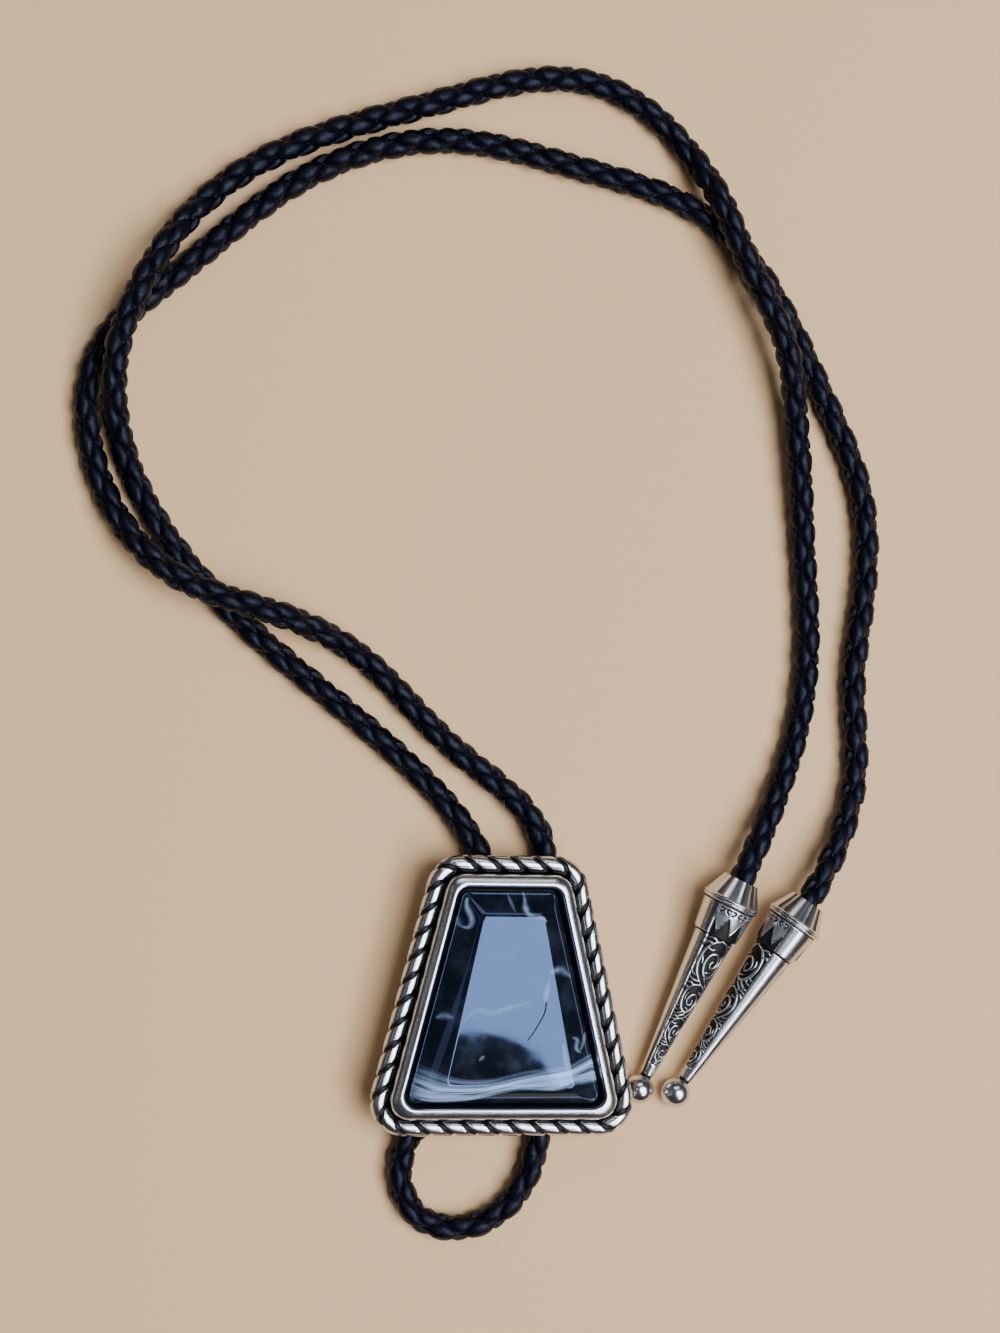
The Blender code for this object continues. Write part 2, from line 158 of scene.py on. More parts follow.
class StageSettings(bpy.types.PropertyGroup):
    """The floor and the lights."""

    floor: FloatVectorProperty(
        name="Floor", description="Colour of the plain floor", default=(0.88, 0.57, 0.3), size=3,
        min=0.0, max=1.0, subtype="COLOR")
    room: FloatVectorProperty(
        name="Room", description="Colour of the plain room round the floor", default=(0.5, 0.48, 0.45), size=3,
        min=0.0, max=1.0, subtype="COLOR")
    key: FloatProperty(
        name="Overhead Light", description="Power of the softbox overhead", default=27.0, unit="POWER")
    fill: FloatProperty(
        name="Side Lights", description="Power of the softboxes at the sides", default=2.0, unit="POWER")


# Meshes

def grid_mesh(name, rings, surface=None, **shares):
    """A closed skin over rings of points, an array of rings by sides by three, with flat ends.

    Each point may carry its place on the surface and any named shares, for the material to read.
    """
    count, sides = rings.shape[:2]
    first = np.arange(count - 1)[:, None] * sides
    here = np.arange(sides)[None, :]
    onward = (here + 1) % sides
    quads = np.stack((first + here, first + onward, first + sides + onward, first + sides + here), axis=-1)
    faces = quads.reshape(-1, 4).tolist()
    faces.append(list(range(sides))[::-1])
    faces.append(list(range((count - 1) * sides, count * sides)))
    mesh = bpy.data.meshes.new(name)
    mesh.from_pydata(rings.reshape(-1, 3).tolist(), [], faces)
    if surface is not None:
        mesh.attributes.new("surface", "FLOAT2", "POINT").data.foreach_set("vector", surface.ravel())
    for key, values in shares.items():
        mesh.attributes.new(key, "FLOAT", "POINT").data.foreach_set("value", values.ravel())
    mesh.shade_smooth()
    mesh.update()
    return mesh


def face_out(mesh):
    """Turn the whole skin inside out if its faces point in."""
    mesh.calc_loop_triangles()
    corners = np.empty(len(mesh.loop_triangles) * 3, dtype=np.int32)
    mesh.loop_triangles.foreach_get("vertices", corners)
    places = np.empty(len(mesh.vertices) * 3, dtype=np.float32)
    mesh.vertices.foreach_get("co", places)
    a, b, c = places.reshape(-1, 3)[corners.reshape(-1, 3)].astype(float).transpose(1, 0, 2)
    volume = np.einsum("ij,ij->", a, np.cross(b, c))
    if volume < 0:
        mesh.flip_normals()


def place_piece(name, mesh, material, node=None):
    """Put a piece in the scene on the part's one body, in the place of a node of the part."""
    face_out(mesh)
    piece = bpy.data.objects.new(name, mesh)
    bpy.context.collection.objects.link(piece)
    mesh.materials.append(material)
    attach(piece, "root")
    if node:
        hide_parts(node)
    return piece


def smoothstep(value):
    """Ease a value between 0 and 1."""
    value = np.clip(value, 0.0, 1.0)
    return value * value * (3.0 - 2.0 * value)


# Strokes, for engraving and for markings

# How many half widths from a stroke are looked at. Farther off, a place counts as this far.
STROKE_REACH = 3.0


def stroke_distance(places, points, half_widths, count=36):
    """How far places lie from a smooth stroke through a few points, squared: 1 is the stroke's edge."""
    line = spline_through(points, count)[0]
    steps = np.linspace(0.0, 1.0, len(half_widths))
    widths = np.interp(np.linspace(0.0, 1.0, count), steps, half_widths)
    reach = STROKE_REACH * widths.max()
    near = np.all((places > line.min(axis=0) - reach) & (places < line.max(axis=0) + reach), axis=-1)
    distance = np.full(places.shape[:-1], STROKE_REACH ** 2)
    apart = places[near][:, None, :] - line
    distance[near] = ((apart ** 2).sum(axis=-1) / widths ** 2).min(axis=1)
    return distance


def ridge(distance):
    """A stroke's rounded back, 1 along its middle and 0 from its edge on."""
    return np.sqrt(np.clip(1.0 - distance, 0.0, 1.0))


# Materials

# The fold along one edge of each lace: its place across the lace, its half width, and the lighter colour
# painted along it as a highlight.
FOLD_PLACE, FOLD_HALF_WIDTH = 0.84, 0.1
FOLD_HIGHLIGHT_COLOUR = (0.05, 0.056, 0.08)


def new_material(name):
    """A node material, its tree and its shader."""
    material = bpy.data.materials.new(name)
    material.use_nodes = True
    return material, material.node_tree, material.node_tree.nodes["Principled BSDF"]


def feed(tree, node, inputs):
    """Feed inputs of a node, each from a socket, a plain value or a colour."""
    for key, value in inputs.items():
        socket = node.inputs[key]
        if isinstance(value, bpy.types.NodeSocket):
            tree.links.new(value, socket)
        elif socket.type == "RGBA":
            socket.default_value = (*value[:3], 1.0)
        else:
            socket.default_value = value


def add_node(tree, kind, inputs=None, **properties):
    """Add a node with its properties set and some of its inputs fed."""
    node = tree.nodes.new(kind)
    for key, value in properties.items():
        setattr(node, key, value)
    feed(tree, node, inputs or {})
    return node


def maths(tree, operation, first, second=0.0):
    """The result of one Math node."""
    return add_node(tree, "ShaderNodeMath", {0: first, 1: second}, operation=operation).outputs[0]


def mix_values(tree, factor, first, second):
    """A value between two, by a factor."""
    return add_node(tree, "ShaderNodeMix", {0: factor, 2: first, 3: second}).outputs[0]


def mix_colours(tree, factor, first, second):
    """A colour between two, by a factor."""
    return add_node(tree, "ShaderNodeMix", {0: factor, 6: first, 7: second}, data_type="RGBA").outputs[2]


def shaped(tree, value, low, high, to_low=0.0, to_high=1.0):
    """A value eased from one range into another."""
    ranges = {"Value": value, "From Min": low, "From Max": high, "To Min": to_low, "To Max": to_high}
    return add_node(tree, "ShaderNodeMapRange", ranges, interpolation_type="SMOOTHSTEP").outputs[0]


def noise(tree, place, scale, detail, roughness=0.6, distortion=0.0):
    """The value of a noise texture at a place."""
    return add_node(tree, "ShaderNodeTexNoise", {
        "Vector": place, "Scale": scale, "Detail": detail, "Roughness": roughness, "Distortion": distortion,
    }).outputs["Fac"]


def attribute(tree, name, output="Fac"):
    """What the mesh carries under a name."""
    return add_node(tree, "ShaderNodeAttribute", attribute_name=name).outputs[output]


def object_place(tree):
    """The place on the piece, in its own axes."""
    return add_node(tree, "ShaderNodeTexCoord").outputs["Object"]


def add_relief(tree, shader, height, strength, distance):
    """Raise the shader's surface by a height."""
    relief = add_node(tree, "ShaderNodeBump", {"Strength": strength, "Distance": distance, "Height": height})
    feed(tree, shader, {"Normal": relief.outputs["Normal"]})


def new_group(name, inputs, outputs):
    """A shader node group with named sockets, and its two end nodes."""
    group = bpy.data.node_groups.new(name, "ShaderNodeTree")
    for socket, kind, value in inputs:
        made = group.interface.new_socket(socket, in_out="INPUT", socket_type=kind)
        made.default_value = value
    for socket, kind in outputs:
        group.interface.new_socket(socket, in_out="OUTPUT", socket_type=kind)
    return group, group.nodes.new("NodeGroupInput"), group.nodes.new("NodeGroupOutput")


def fine_grain_group():
    """Grain that lies along a surface: streaks along it, and pores all over it."""
    name = "Fine Grain"
    if name in bpy.data.node_groups:
        return bpy.data.node_groups[name]
    group, start, end = new_group(
        name,
        (("Place", "NodeSocketVector", (0.0, 0.0, 0.0)), ("Streaks Along", "NodeSocketFloat", 500.0),
         ("Streaks Across", "NodeSocketFloat", 8000.0), ("Pores", "NodeSocketFloat", 4000.0),
         ("Streak Share", "NodeSocketFloat", 0.5)),
        (("Height", "NodeSocketFloat"), ("Mask", "NodeSocketFloat")),
    )
    place, along, across, pores, share = start.outputs[:5]
    scale = add_node(group, "ShaderNodeCombineXYZ", {0: along, 1: across, 2: across})
    stretched = add_node(group, "ShaderNodeVectorMath", {0: place, 1: scale.outputs[0]}, operation="MULTIPLY")
    streaks = noise(group, stretched.outputs[0], 1.0, 3.0)
    height = mix_values(group, share, noise(group, place, pores, 4.0, 0.62), streaks)
    mask = add_node(group, "ShaderNodeMapRange", {"Value": height, "From Min": 0.4, "From Max": 0.62})
    feed(group, end, {"Height": height, "Mask": mask.outputs[0]})
    return group


def fine_grain(tree, place, along, across, share=0.5, pores=4000.0):
    """The height and the mask of fine grain, by how many streaks and pores there are to a metre."""
    inputs = {
        "Place": place, "Streaks Along": along, "Streaks Across": across, "Streak Share": share, "Pores": pores,
    }
    return add_node(tree, "ShaderNodeGroup", inputs, node_tree=fine_grain_group()).outputs[:2]


def tarnish_group():
    """Blackening that stays in the hollows of a casting and is rubbed off its high places."""
    name = "Tarnish in Hollows"
    if name in bpy.data.node_groups:
        return bpy.data.node_groups[name]
    group, start, end = new_group(
        name,
        (("Bright", "NodeSocketColor", (0.6, 0.6, 0.6, 1.0)),
         ("Black", "NodeSocketColor", (0.0, 0.0, 0.0, 1.0)), ("Hollow", "NodeSocketFloat", 0.0),
         ("Polish", "NodeSocketFloat", 0.2), ("Break-up", "NodeSocketFloat", 0.25),
         ("Place", "NodeSocketVector", (0.0, 0.0, 0.0))),
        (("Colour", "NodeSocketColor"), ("Roughness", "NodeSocketFloat"), ("Metallic", "NodeSocketFloat")),
    )
    bright, black, hollow, polish, break_up, place = start.outputs[:6]
    spots = maths(group, "SUBTRACT", noise(group, place, 1400.0, 4.0), 0.5)
    mask = shaped(group, maths(group, "ADD", hollow, maths(group, "MULTIPLY", spots, break_up)), 0.3, 0.6)
    handling = maths(group, "SUBTRACT", noise(group, place, 260.0, 3.0, 0.55), 0.5)
    polish = maths(group, "ADD", polish, maths(group, "MULTIPLY", handling, 0.16))
    feed(group, end, {
        "Colour": mix_colours(group, mask, bright, black),
        "Roughness": mix_values(group, mask, polish, 0.55),
        "Metallic": maths(group, "SUBTRACT", 1.0, maths(group, "MULTIPLY", mask, 0.6)),
    })
    return group


def cast_metal(name, settings, polish, streaks, streak_share, bump):
    """Polished cast metal with black in its hollows, and fine marks along its surface."""
    material, tree, shader = new_material(name)
    inputs = {
        "Bright": settings.bright, "Black": settings.tarnish, "Polish": polish,
        "Hollow": attribute(tree, "tarnish"), "Place": object_place(tree),
    }
    metal = add_node(tree, "ShaderNodeGroup", inputs, node_tree=tarnish_group())
    for target, source in (("Base Color", "Colour"), ("Roughness", "Roughness"), ("Metallic", "Metallic")):
        feed(tree, shader, {target: metal.outputs[source]})
    height, _ = fine_grain(tree, attribute(tree, "surface", "Vector"), *streaks, streak_share)
    add_relief(tree, shader, height, bump, 0.05 * MM)
    return material


def leather_material(settings):
    """Dyed, polished leather lace: black, with a soft gloss, grain, and a fold along one edge, sunk as a groove
    and lightened in the colour as a painted highlight.
    """
    material, tree, shader = new_material("braided_leather")
    height, mask = fine_grain(tree, attribute(tree, "surface", "Vector"), 350.0, 3500.0, pores=2200.0)
    from_fold = maths(tree, "ABSOLUTE", maths(tree, "SUBTRACT", attribute(tree, "edge"), FOLD_PLACE))
    fold_groove_and_highlight = shaped(tree, from_fold, FOLD_HALF_WIDTH, 0.0)
    lighter = [min(1.0, value * 2.6) for value in settings.colour]
    colour = mix_colours(tree, mask, settings.colour, lighter)
    feed(tree, shader, {
        # Lightening the colour along the fold is a painted highlight; the relief below sinks the fold as a
        # groove.
        "Base Color": mix_colours(tree, maths(tree, "MULTIPLY", fold_groove_and_highlight, 0.5), colour, FOLD_HIGHLIGHT_COLOUR),
        "Roughness": maths(tree, "ADD", maths(tree, "MULTIPLY", mask, 0.16), 0.3),
        "Specular IOR Level": 0.24,
        "Specular Tint": settings.sheen,
    })
    height = maths(tree, "SUBTRACT", height, maths(tree, "MULTIPLY", fold_groove_and_highlight, 0.6))
    add_relief(tree, shader, height, 0.9, 0.16 * MM)
    return material


# The cord

def tip_pose(ball, heading, roll):
    """The tip's place: it rests on its ball and its flange, rolled about its own axis."""
    slope = math.atan2(FLANGE_RADIUS - BALL_RADIUS, FLANGE_AT)
    flat = Vector((*heading, 0.0)).normalized()
    axis = flat * math.cos(slope) + Vector((0.0, 0.0, math.sin(slope)))
    across = Vector((0.0, 0.0, 1.0)).cross(flat)
    upward = axis.cross(across)
    turn = Matrix((across, upward, axis)).transposed()
    centre = Vector((*ball, BALL_RADIUS + TIP_LIFT))
    return Matrix.Translation(centre) @ turn.to_4x4() @ Matrix.Rotation(roll, 4, "Z")


def cord_route():
    """The route's points from the bottom of one tip's hole to the bottom of the other's."""
    seat = Vector((0.0, 0.0, MOUTH_END - HOLE_DEPTH + CORD_END_GAP))
    mouth = Vector((0.0, 0.0, MOUTH_END))
    left, right = (tip_pose(*place) for place in TIPS.values())
    inner = [Vector(point) * MM for point in ROUTE_MM]
    return np.array([left @ seat, left @ mouth, *inner, right @ mouth, right @ seat])


def spline_bends(points, spans):
    """Second derivatives of the natural cubic spline through points, at each point."""
    count = len(points)
    system = np.eye(count)
    target = np.zeros_like(points)
    for i in range(1, count - 1):
        before, after = spans[i - 1], spans[i]
        system[i, i - 1:i + 2] = before, 2 * (before + after), after
        slope_change = (points[i + 1] - points[i]) / after - (points[i] - points[i - 1]) / before
        target[i] = 6 * slope_change
    return np.linalg.solve(system, target)


def spline_through(points, count):
    """Places at even steps along a natural cubic spline, the span each is in, and its share of it."""
    points = np.asarray(points, dtype=float)
    spans = np.linalg.norm(np.diff(points, axis=0), axis=1)
    bends = spline_bends(points, spans)
    knots = np.concatenate(([0.0], np.cumsum(spans)))
    along = np.linspace(0.0, knots[-1], count)
    stretch = np.clip(np.searchsorted(knots, along, side="right") - 1, 0, len(spans) - 1)
    span = spans[stretch][:, None]
    b = (along - knots[stretch])[:, None] / span
    a = 1.0 - b
    bend = ((a ** 3 - a) * bends[stretch] + (b ** 3 - b) * bends[stretch + 1]) * span ** 2 / 6
    return a * points[stretch] + b * points[stretch + 1] + bend, stretch, b[:, 0]


def smooth_route(route, step):
    """Points at equal steps on a smooth curve through the route. The height eases between its points."""
    rough_length = np.linalg.norm(np.diff(route, axis=0), axis=1).sum()
    fine, stretch, share = spline_through(route, round(4 * rough_length / step))
    heights = route[:, 2]
    fine[:, 2] = heights[stretch] + (heights[stretch + 1] - heights[stretch]) * smoothstep(share)
    passed = np.concatenate(([0.0], np.cumsum(np.linalg.norm(np.diff(fine, axis=0), axis=1))))
    places = np.linspace(0.0, passed[-1], 1 + round(passed[-1] / step))
    return places, np.stack([np.interp(places, passed, fine[:, axis]) for axis in range(3)], axis=1)


class CordPath:
    """The cord's middle line, with a level sideways direction and an upward one all along it."""

    def __init__(self, step):
        self.places, self.points = smooth_route(cord_route(), step)
        along = np.gradient(self.points, self.places, axis=0)
        along /= np.linalg.norm(along, axis=1)[:, None]
        sideways = np.cross(along, (0.0, 0.0, 1.0))
        self.sideways = sideways / np.linalg.norm(sideways, axis=1)[:, None]
        self.upward = np.cross(self.sideways, along)
        self.length = self.places[-1]

    def at(self, values, places):
        """Values along the cord, read at other places."""
        return np.stack([np.interp(places, self.places, values[:, axis]) for axis in range(3)], axis=-1)

    def around(self, places, angles, radii):
        """Points at angles and distances round the cord's middle line."""
        outward = np.cos(angles)[..., None] * self.at(self.sideways, places)
        outward += np.sin(angles)[..., None] * self.at(self.upward, places)
        return self.at(self.points, places) + radii[..., None] * outward


LACE_STEP = 0.5 * MM
LACE_LINGER = 0.3
# A lace's section: the share of its half width across, and of its half thickness out.
LACE_SECTION = np.array((
    (1.0, 0.0), (0.97, 0.66), (0.84, 0.92), (0.45, 0.98), (0.0, 1.0), (-0.45, 0.98), (-0.84, 0.92),
    (-0.97, 0.66), (-1.0, 0.0), (-0.7, -0.8), (0.0, -1.0), (0.7, -0.8),
))
LACE_WRAP = 1.3 * MM
LACE_TILT = 0.16 * MM
# How much a lace widens and thickens where it lies over, and shrinks where it lies under.
LACE_SPREAD, LACE_SWELL = 0.1, 0.15
WEAVE_STEEPNESS = 2.6
# How the braid turns on itself along the cord: its turn at the start, and each wave's swing, count
# and start.
BRAID_START = math.radians(45)
BRAID_WAVES = ((0.22, 2.3, 0.0), (0.1, 7.1, 1.0))
CORE_SIDES = 8
CORE_RADIUS = 1.15 * MM
CORE_STRIDE = 4


def lace_rings(path, settings, hand, start):
    """One lace of the braid. It winds round by hand, and goes over and under twice in each turn.

    Where it lies over, it runs straighter, and swells; where it lies under, it is squeezed.
    """
    places = path.places
    phase = math.tau * places / settings.turn
    twist = braid_twist(places, path.length)
    angle = hand * phase - LACE_LINGER * np.sin(2 * phase) + start + twist
    winding = (hand - 2 * LACE_LINGER * np.cos(2 * phase)) * math.tau / settings.turn
    lean = np.arctan(LACE_WRAP * winding)[:, None]
    half_width = settings.lace_width / 2 * (1 + LACE_SPREAD * hand * np.cos(2 * phase))
    across = half_width[:, None] * LACE_SECTION[:, 0]
    ring_places = np.clip(places[:, None] - across * np.sin(lean), 0.0, path.length)
    ring_angles = angle[:, None] + across * np.cos(lean) / LACE_WRAP
    over = hand * weave(ring_angles - twist[:, None], math.tau * ring_places / settings.turn)
    half_thickness = settings.lace_thickness / 2
    middle = settings.diameter / 2 - (1 + LACE_SWELL) * half_thickness - settings.rise
    radius = middle + settings.rise * over + half_thickness * (1 + LACE_SWELL * over) * LACE_SECTION[:, 1]
    edge = -hand * LACE_SECTION[:, 0]
    radius += LACE_TILT * np.maximum(over, 0.0) * edge
    rings = path.around(ring_places, ring_angles, radius)
    surface = np.stack(np.broadcast_arrays(places[:, None], across + start), axis=-1)
    return rings, surface, np.broadcast_to(edge, rings.shape[:2])


def weave(angle, phase):
    """How far the laces of the right hand lie over those of the left at a place, from 1 to -1."""
    over = (np.cos(2 * angle) + np.cos(2 * phase)) / 2
    return np.tanh(WEAVE_STEEPNESS * over) / math.tanh(WEAVE_STEEPNESS)


def braid_twist(places, length):
    """How far the whole braid has turned on itself as it was laid down."""
    turns = math.tau * places / length
    return BRAID_START + sum(swing * np.sin(count * turns + start) for swing, count, start in BRAID_WAVES)


def core_rings(path, radius):
    """The filling that the laces are braided round."""
    places = path.places[::CORE_STRIDE]
    angles = math.tau * np.arange(CORE_SIDES) / CORE_SIDES
    shape = (len(places), CORE_SIDES)
    places = np.broadcast_to(places[:, None], shape)
    angles = np.broadcast_to(angles, shape)
    return path.around(places, angles, np.full(shape, radius))


def joined_mesh(name, meshes):
    """One mesh made of several closed skins."""
    parts = []
    for mesh in meshes:
        face_out(mesh)
        part = bpy.data.objects.new(name, mesh)
        bpy.context.collection.objects.link(part)
        parts.append(part)
    with bpy.context.temp_override(active_object=parts[0], selected_editable_objects=parts):
        bpy.ops.object.join()
    joined = parts[0].data
    bpy.data.objects.remove(parts[0], do_unlink=True)
    joined.name = name
    return joined


class BOLO_OT_cord(bpy.types.Operator):
    """Braid the cord from four laces along its route"""

    bl_idname = "bolo.cord"
    bl_label = "Braided Cord"

    def execute(self, context):
        settings = context.scene.bolo_cord
        path = CordPath(LACE_STEP)
        meshes = []
        for hand in (1, -1):
            for start in (0.0, math.pi):
                rings, surface, edge = lace_rings(path, settings, hand, start)
                meshes.append(grid_mesh("lace", rings, surface, edge=edge))
        rings = core_rings(path, CORE_RADIUS)
        shape = rings.shape[:2]
        meshes.append(grid_mesh("core", rings, np.zeros((*shape, 2)), edge=np.zeros(shape)))
        mesh = joined_mesh("cord_braid", meshes)
        braid = place_piece("cord_braid", mesh, leather_material(settings), "cord")
        return {"FINISHED"}


# The slide

# Inset, height, corner radius and blackness of the rim, from the valley beside the rope to the recess.
RIM_SECTION = (
    (2.92, 7.50, 3.32, 1.0), (2.98, 7.90, 3.3, 1.0), (3.04, 9.10, 3.26, 1.0), (3.10, 9.80, 3.22, 0.7),
    (3.20, 10.12, 3.16, 0.1), (3.40, 10.36, 3.08, 0.0), (3.64, 10.54, 2.98, 0.0), (3.88, 10.68, 2.86, 0.0),
    (4.12, 10.79, 2.74, 0.0), (4.36, 10.87, 2.6, 0.0), (4.60, 10.93, 2.48, 0.0), (4.80, 10.93, 2.36, 0.0),
    (4.94, 10.83, 2.27, 0.0), (5.06, 10.62, 2.18, 0.0), (5.13, 10.38, 2.1, 0.1), (5.18, 10.18, 2.05, 0.8),
    (5.40, 9.75, 1.9, 1.0), (5.60, 9.30, 1.8, 1.0), (5.60, 8.20, 1.8, 1.0),
)
# The plate's edge from its flat back up to the rope: inset, height and blackness.
PLATE_EDGE = ((1.1, 6.0, 0.0), (0.75, 6.02, 0.0), (0.5, 6.12, 0.1), (0.36, 6.32, 0.5))
ROPE_RADIUS = 1.55 * MM
ROPE_HEIGHT = 7.6 * MM
ROPE_CORNER = 4.4 * MM
ROPE_LAY = 7.8 * MM
ROPE_FROM, ROPE_TO = -35.0, 150.0
ROPE_RINGS = 16
LOBE_STATIONS = 18
LOBE_CROWDING = 0.08
# A lobe's back: how much it domes, and where it starts to fall into the groove and for how long.
LOBE_DOME, LOBE_FALL_FROM, LOBE_FALL = 0.16, 0.57, 0.26
# A lobe is wholly bright above this share of its height, and blackens from this angle of the rope on.
LOBE_BRIGHT_FROM = 0.92
ROPE_BLACK_FROM, ROPE_BLACK_OVER = 128.0, 18.0


def slide_corners(settings, inset):
    """The slide's four sharp corners moved in by an inset, clockwise from the top left."""
    slope = (settings.bottom_half - settings.top_half) / settings.height
    sideways = inset * math.hypot(1.0, slope)
    top = settings.top_half + slope * inset - sideways
    bottom = settings.bottom_half - slope * inset - sideways
    y = settings.height / 2 - inset
    return [Vector(corner) for corner in ((-top, y), (top, y), (bottom, -y), (-bottom, -y))]


class Outline:
    """A four-sided outline with rounded corners, walked clockwise: a straight side, then an arc."""

    def __init__(self, corners, radius):
        self.pieces = []
        count = len(corners)
        for i in range(count):
            before, corner, after = (corners[(i + k) % count] for k in range(3))
            along = (corner - before).normalized()
            onward = (after - corner).normalized()
            arriving = (before - corners[i - 1]).angle(corner - before)
            turn = along.angle(onward)
            start = before + along * radius * math.tan(arriving / 2)
            end = corner - along * radius * math.tan(turn / 2)
            centre = end + Vector((along.y, -along.x)) * radius
            self.pieces.append(((end - start).length, start, end, None))
            self.pieces.append((radius * turn, centre, end - centre, turn))
        self.length = sum(piece[0] for piece in self.pieces)

    def locate(self, distance):
        """The piece that a distance along the outline falls on, and the share of it passed."""
        distance %= self.length
        for index, piece in enumerate(self.pieces):
            if distance <= piece[0]:
                return index, distance / piece[0]
            distance -= piece[0]
        return len(self.pieces) - 1, 1.0

    def point(self, index, share):
        """The point at a share of one piece."""
        _, first, second, turn = self.pieces[index]
        if turn is None:
            return first.lerp(second, share)
        cosine, sine = math.cos(turn * share), math.sin(turn * share)
        return first + Vector((cosine * second.x + sine * second.y, cosine * second.y - sine * second.x))


def lobe_bulge(along):
    """Height of a lobe's back over its groove, 0 in the groove and 1 on the lobe."""
    from_middle = abs(2.0 * along - 1.0)
    return (1.0 - LOBE_DOME * from_middle ** 2) * (1.0 - smoothstep((from_middle - LOBE_FALL_FROM) / LOBE_FALL))


def slide_rings(settings):
    """Rings of the casting from its flat back over the rope border and the rim into the recess."""
    spine = Outline(slide_corners(settings, ROPE_RADIUS), ROPE_CORNER)
    lobe = spine.length / settings.lobes
    shares = np.arange(LOBE_STATIONS) / LOBE_STATIONS
    shares -= LOBE_CROWDING * np.sin(math.tau * shares)
    stations = [(number + share, share) for number in range(settings.lobes) for share in shares]
    rings, tarnish, surface = [], [], []

    def add_ring(onward, section_at):
        ring, black, places = [], [], []
        for number, along in stations:
            inset, height, corner, hollow = section_at(along)
            outline = Outline(slide_corners(settings, inset), corner)
            point = outline.point(*spine.locate(number * lobe + onward))
            ring.append((point.x, point.y, height))
            black.append(hollow)
            places.append((number * lobe, inset + height))
        rings.append(ring)
        tarnish.append(black)
        surface.append(places)

    outer, inner = (ROPE_LAY * degrees / 360 for degrees in (ROPE_FROM, ROPE_TO))
    edge = ROPE_CORNER + ROPE_RADIUS
    for inset, height, hollow in PLATE_EDGE:
        section = (inset * MM, height * MM, edge - inset * MM, hollow)
        add_ring(outer, lambda along, section=section: section)
    for degrees in np.linspace(ROPE_FROM, ROPE_TO, ROPE_RINGS):
        turned = math.radians(degrees)
        inner_black = min(1.0, (degrees - ROPE_BLACK_FROM) / ROPE_BLACK_OVER)

        def rope_section(along):
            bulge = lobe_bulge(along)
            radius = ROPE_RADIUS - settings.groove * (1.0 - bulge)
            inset = ROPE_RADIUS - radius * math.cos(turned)
            height = ROPE_HEIGHT + radius * math.sin(turned)
            return inset, height, edge - inset, max(1.0 - bulge / LOBE_BRIGHT_FROM, 0.0, inner_black)

        add_ring(ROPE_LAY * degrees / 360, rope_section)
    for inset, height, corner, hollow in RIM_SECTION:
        section = (inset * MM, height * MM, corner * MM, hollow)
        add_ring(inner, lambda along, section=section: section)
    return np.array(rings), np.array(tarnish), np.array(surface)


class BOLO_OT_slide(bpy.types.Operator):
    """Cast the slide: plate, rope border, plain rim and the recess for the stone"""

    bl_idname = "bolo.slide"
    bl_label = "Slide"

    def execute(self, context):
        settings = context.scene.bolo_slide
        rings, tarnish, surface = slide_rings(settings)
        mesh = grid_mesh("slide_casting", rings, surface, tarnish=tarnish)
        mesh.set_sharp_from_angle(angle=math.radians(50))
        finish = context.scene.bolo_metal
        metal = cast_metal("antique_silver", finish, finish.slide_roughness, (60.0, 9000.0), 0.8, 0.35)
        place_piece("slide_casting", mesh, metal, "slide_frame")
        return {"FINISHED"}


# The stone

STONE_INSET = 5.9 * MM
STONE_CORNER = 1.5 * MM
TABLE_TOP = 12.5 * MM
TABLE_LENGTH = 28.4 * MM
TABLE_TOP_HALF, TABLE_BOTTOM_HALF = 5.2 * MM, 11.0 * MM
TABLE_SHIFT = Vector((0.3 * MM, -0.5 * MM))
TABLE_CORNER = 1.1 * MM
CORNER_STEPS = 6
SIDE_STEPS = (60, 180, 150, 180)
# The stone's edge from its underside up: how far each ring is set in, and its height.
STONE_EDGE = ((0.0, 8.5), (0.0, 9.85), (0.03, 9.97), (0.11, 10.08), (0.22, 10.16), (0.30, 10.22))
BEVEL_RINGS = 28
BEVEL_CROWN = 0.1 * MM
# The edge between bevel and table is softened from this share of the bevel to this share of the table.
SOFT_FROM, SOFT_TO = 0.88, 0.955
SOFT_RINGS = 8
TABLE_RINGS = 48


def stone_ring(corners, radius, height):
    """A ring of the stone, with points along its sides and round its corners."""
    outline = Outline(corners, radius)
    ring = []
    for index, piece in enumerate(outline.pieces):
        steps = SIDE_STEPS[index // 2] if piece[3] is None else CORNER_STEPS
        ring += [(*outline.point(index, step / steps), height) for step in range(steps)]
    return np.array(ring)


def stone_rings(settings):
    """Rings of the cut stone from its underside to the middle of its table, with softened edges."""
    rings = []
    for inset, height in STONE_EDGE:
        corners = slide_corners(settings, STONE_INSET + inset * MM)
        rings.append(stone_ring(corners, STONE_CORNER, height * MM))
    y = TABLE_LENGTH / 2
    table = ((-TABLE_TOP_HALF, y), (TABLE_TOP_HALF, y), (TABLE_BOTTOM_HALF, -y), (-TABLE_BOTTOM_HALF, -y))
    table = stone_ring([Vector(corner) + TABLE_SHIFT for corner in table], TABLE_CORNER, TABLE_TOP)
    foot = rings[-1]
    for share in np.linspace(0.0, SOFT_FROM, BEVEL_RINGS)[1:]:
        ring = foot + (table - foot) * share
        ring[:, 2] += 4 * BEVEL_CROWN * share * (1.0 - share)
        rings.append(ring)
    centre = table.mean(axis=0)
    inner = centre + (table - centre) * SOFT_TO
    for share in np.linspace(0.0, 1.0, SOFT_RINGS)[1:]:
        rings.append((1 - share) ** 2 * ring + 2 * share * (1 - share) * table + share ** 2 * inner)
    rings += [centre + (inner - centre) * share for share in np.linspace(1.0, 0.01, TABLE_RINGS)[1:]]
    return np.array(rings)


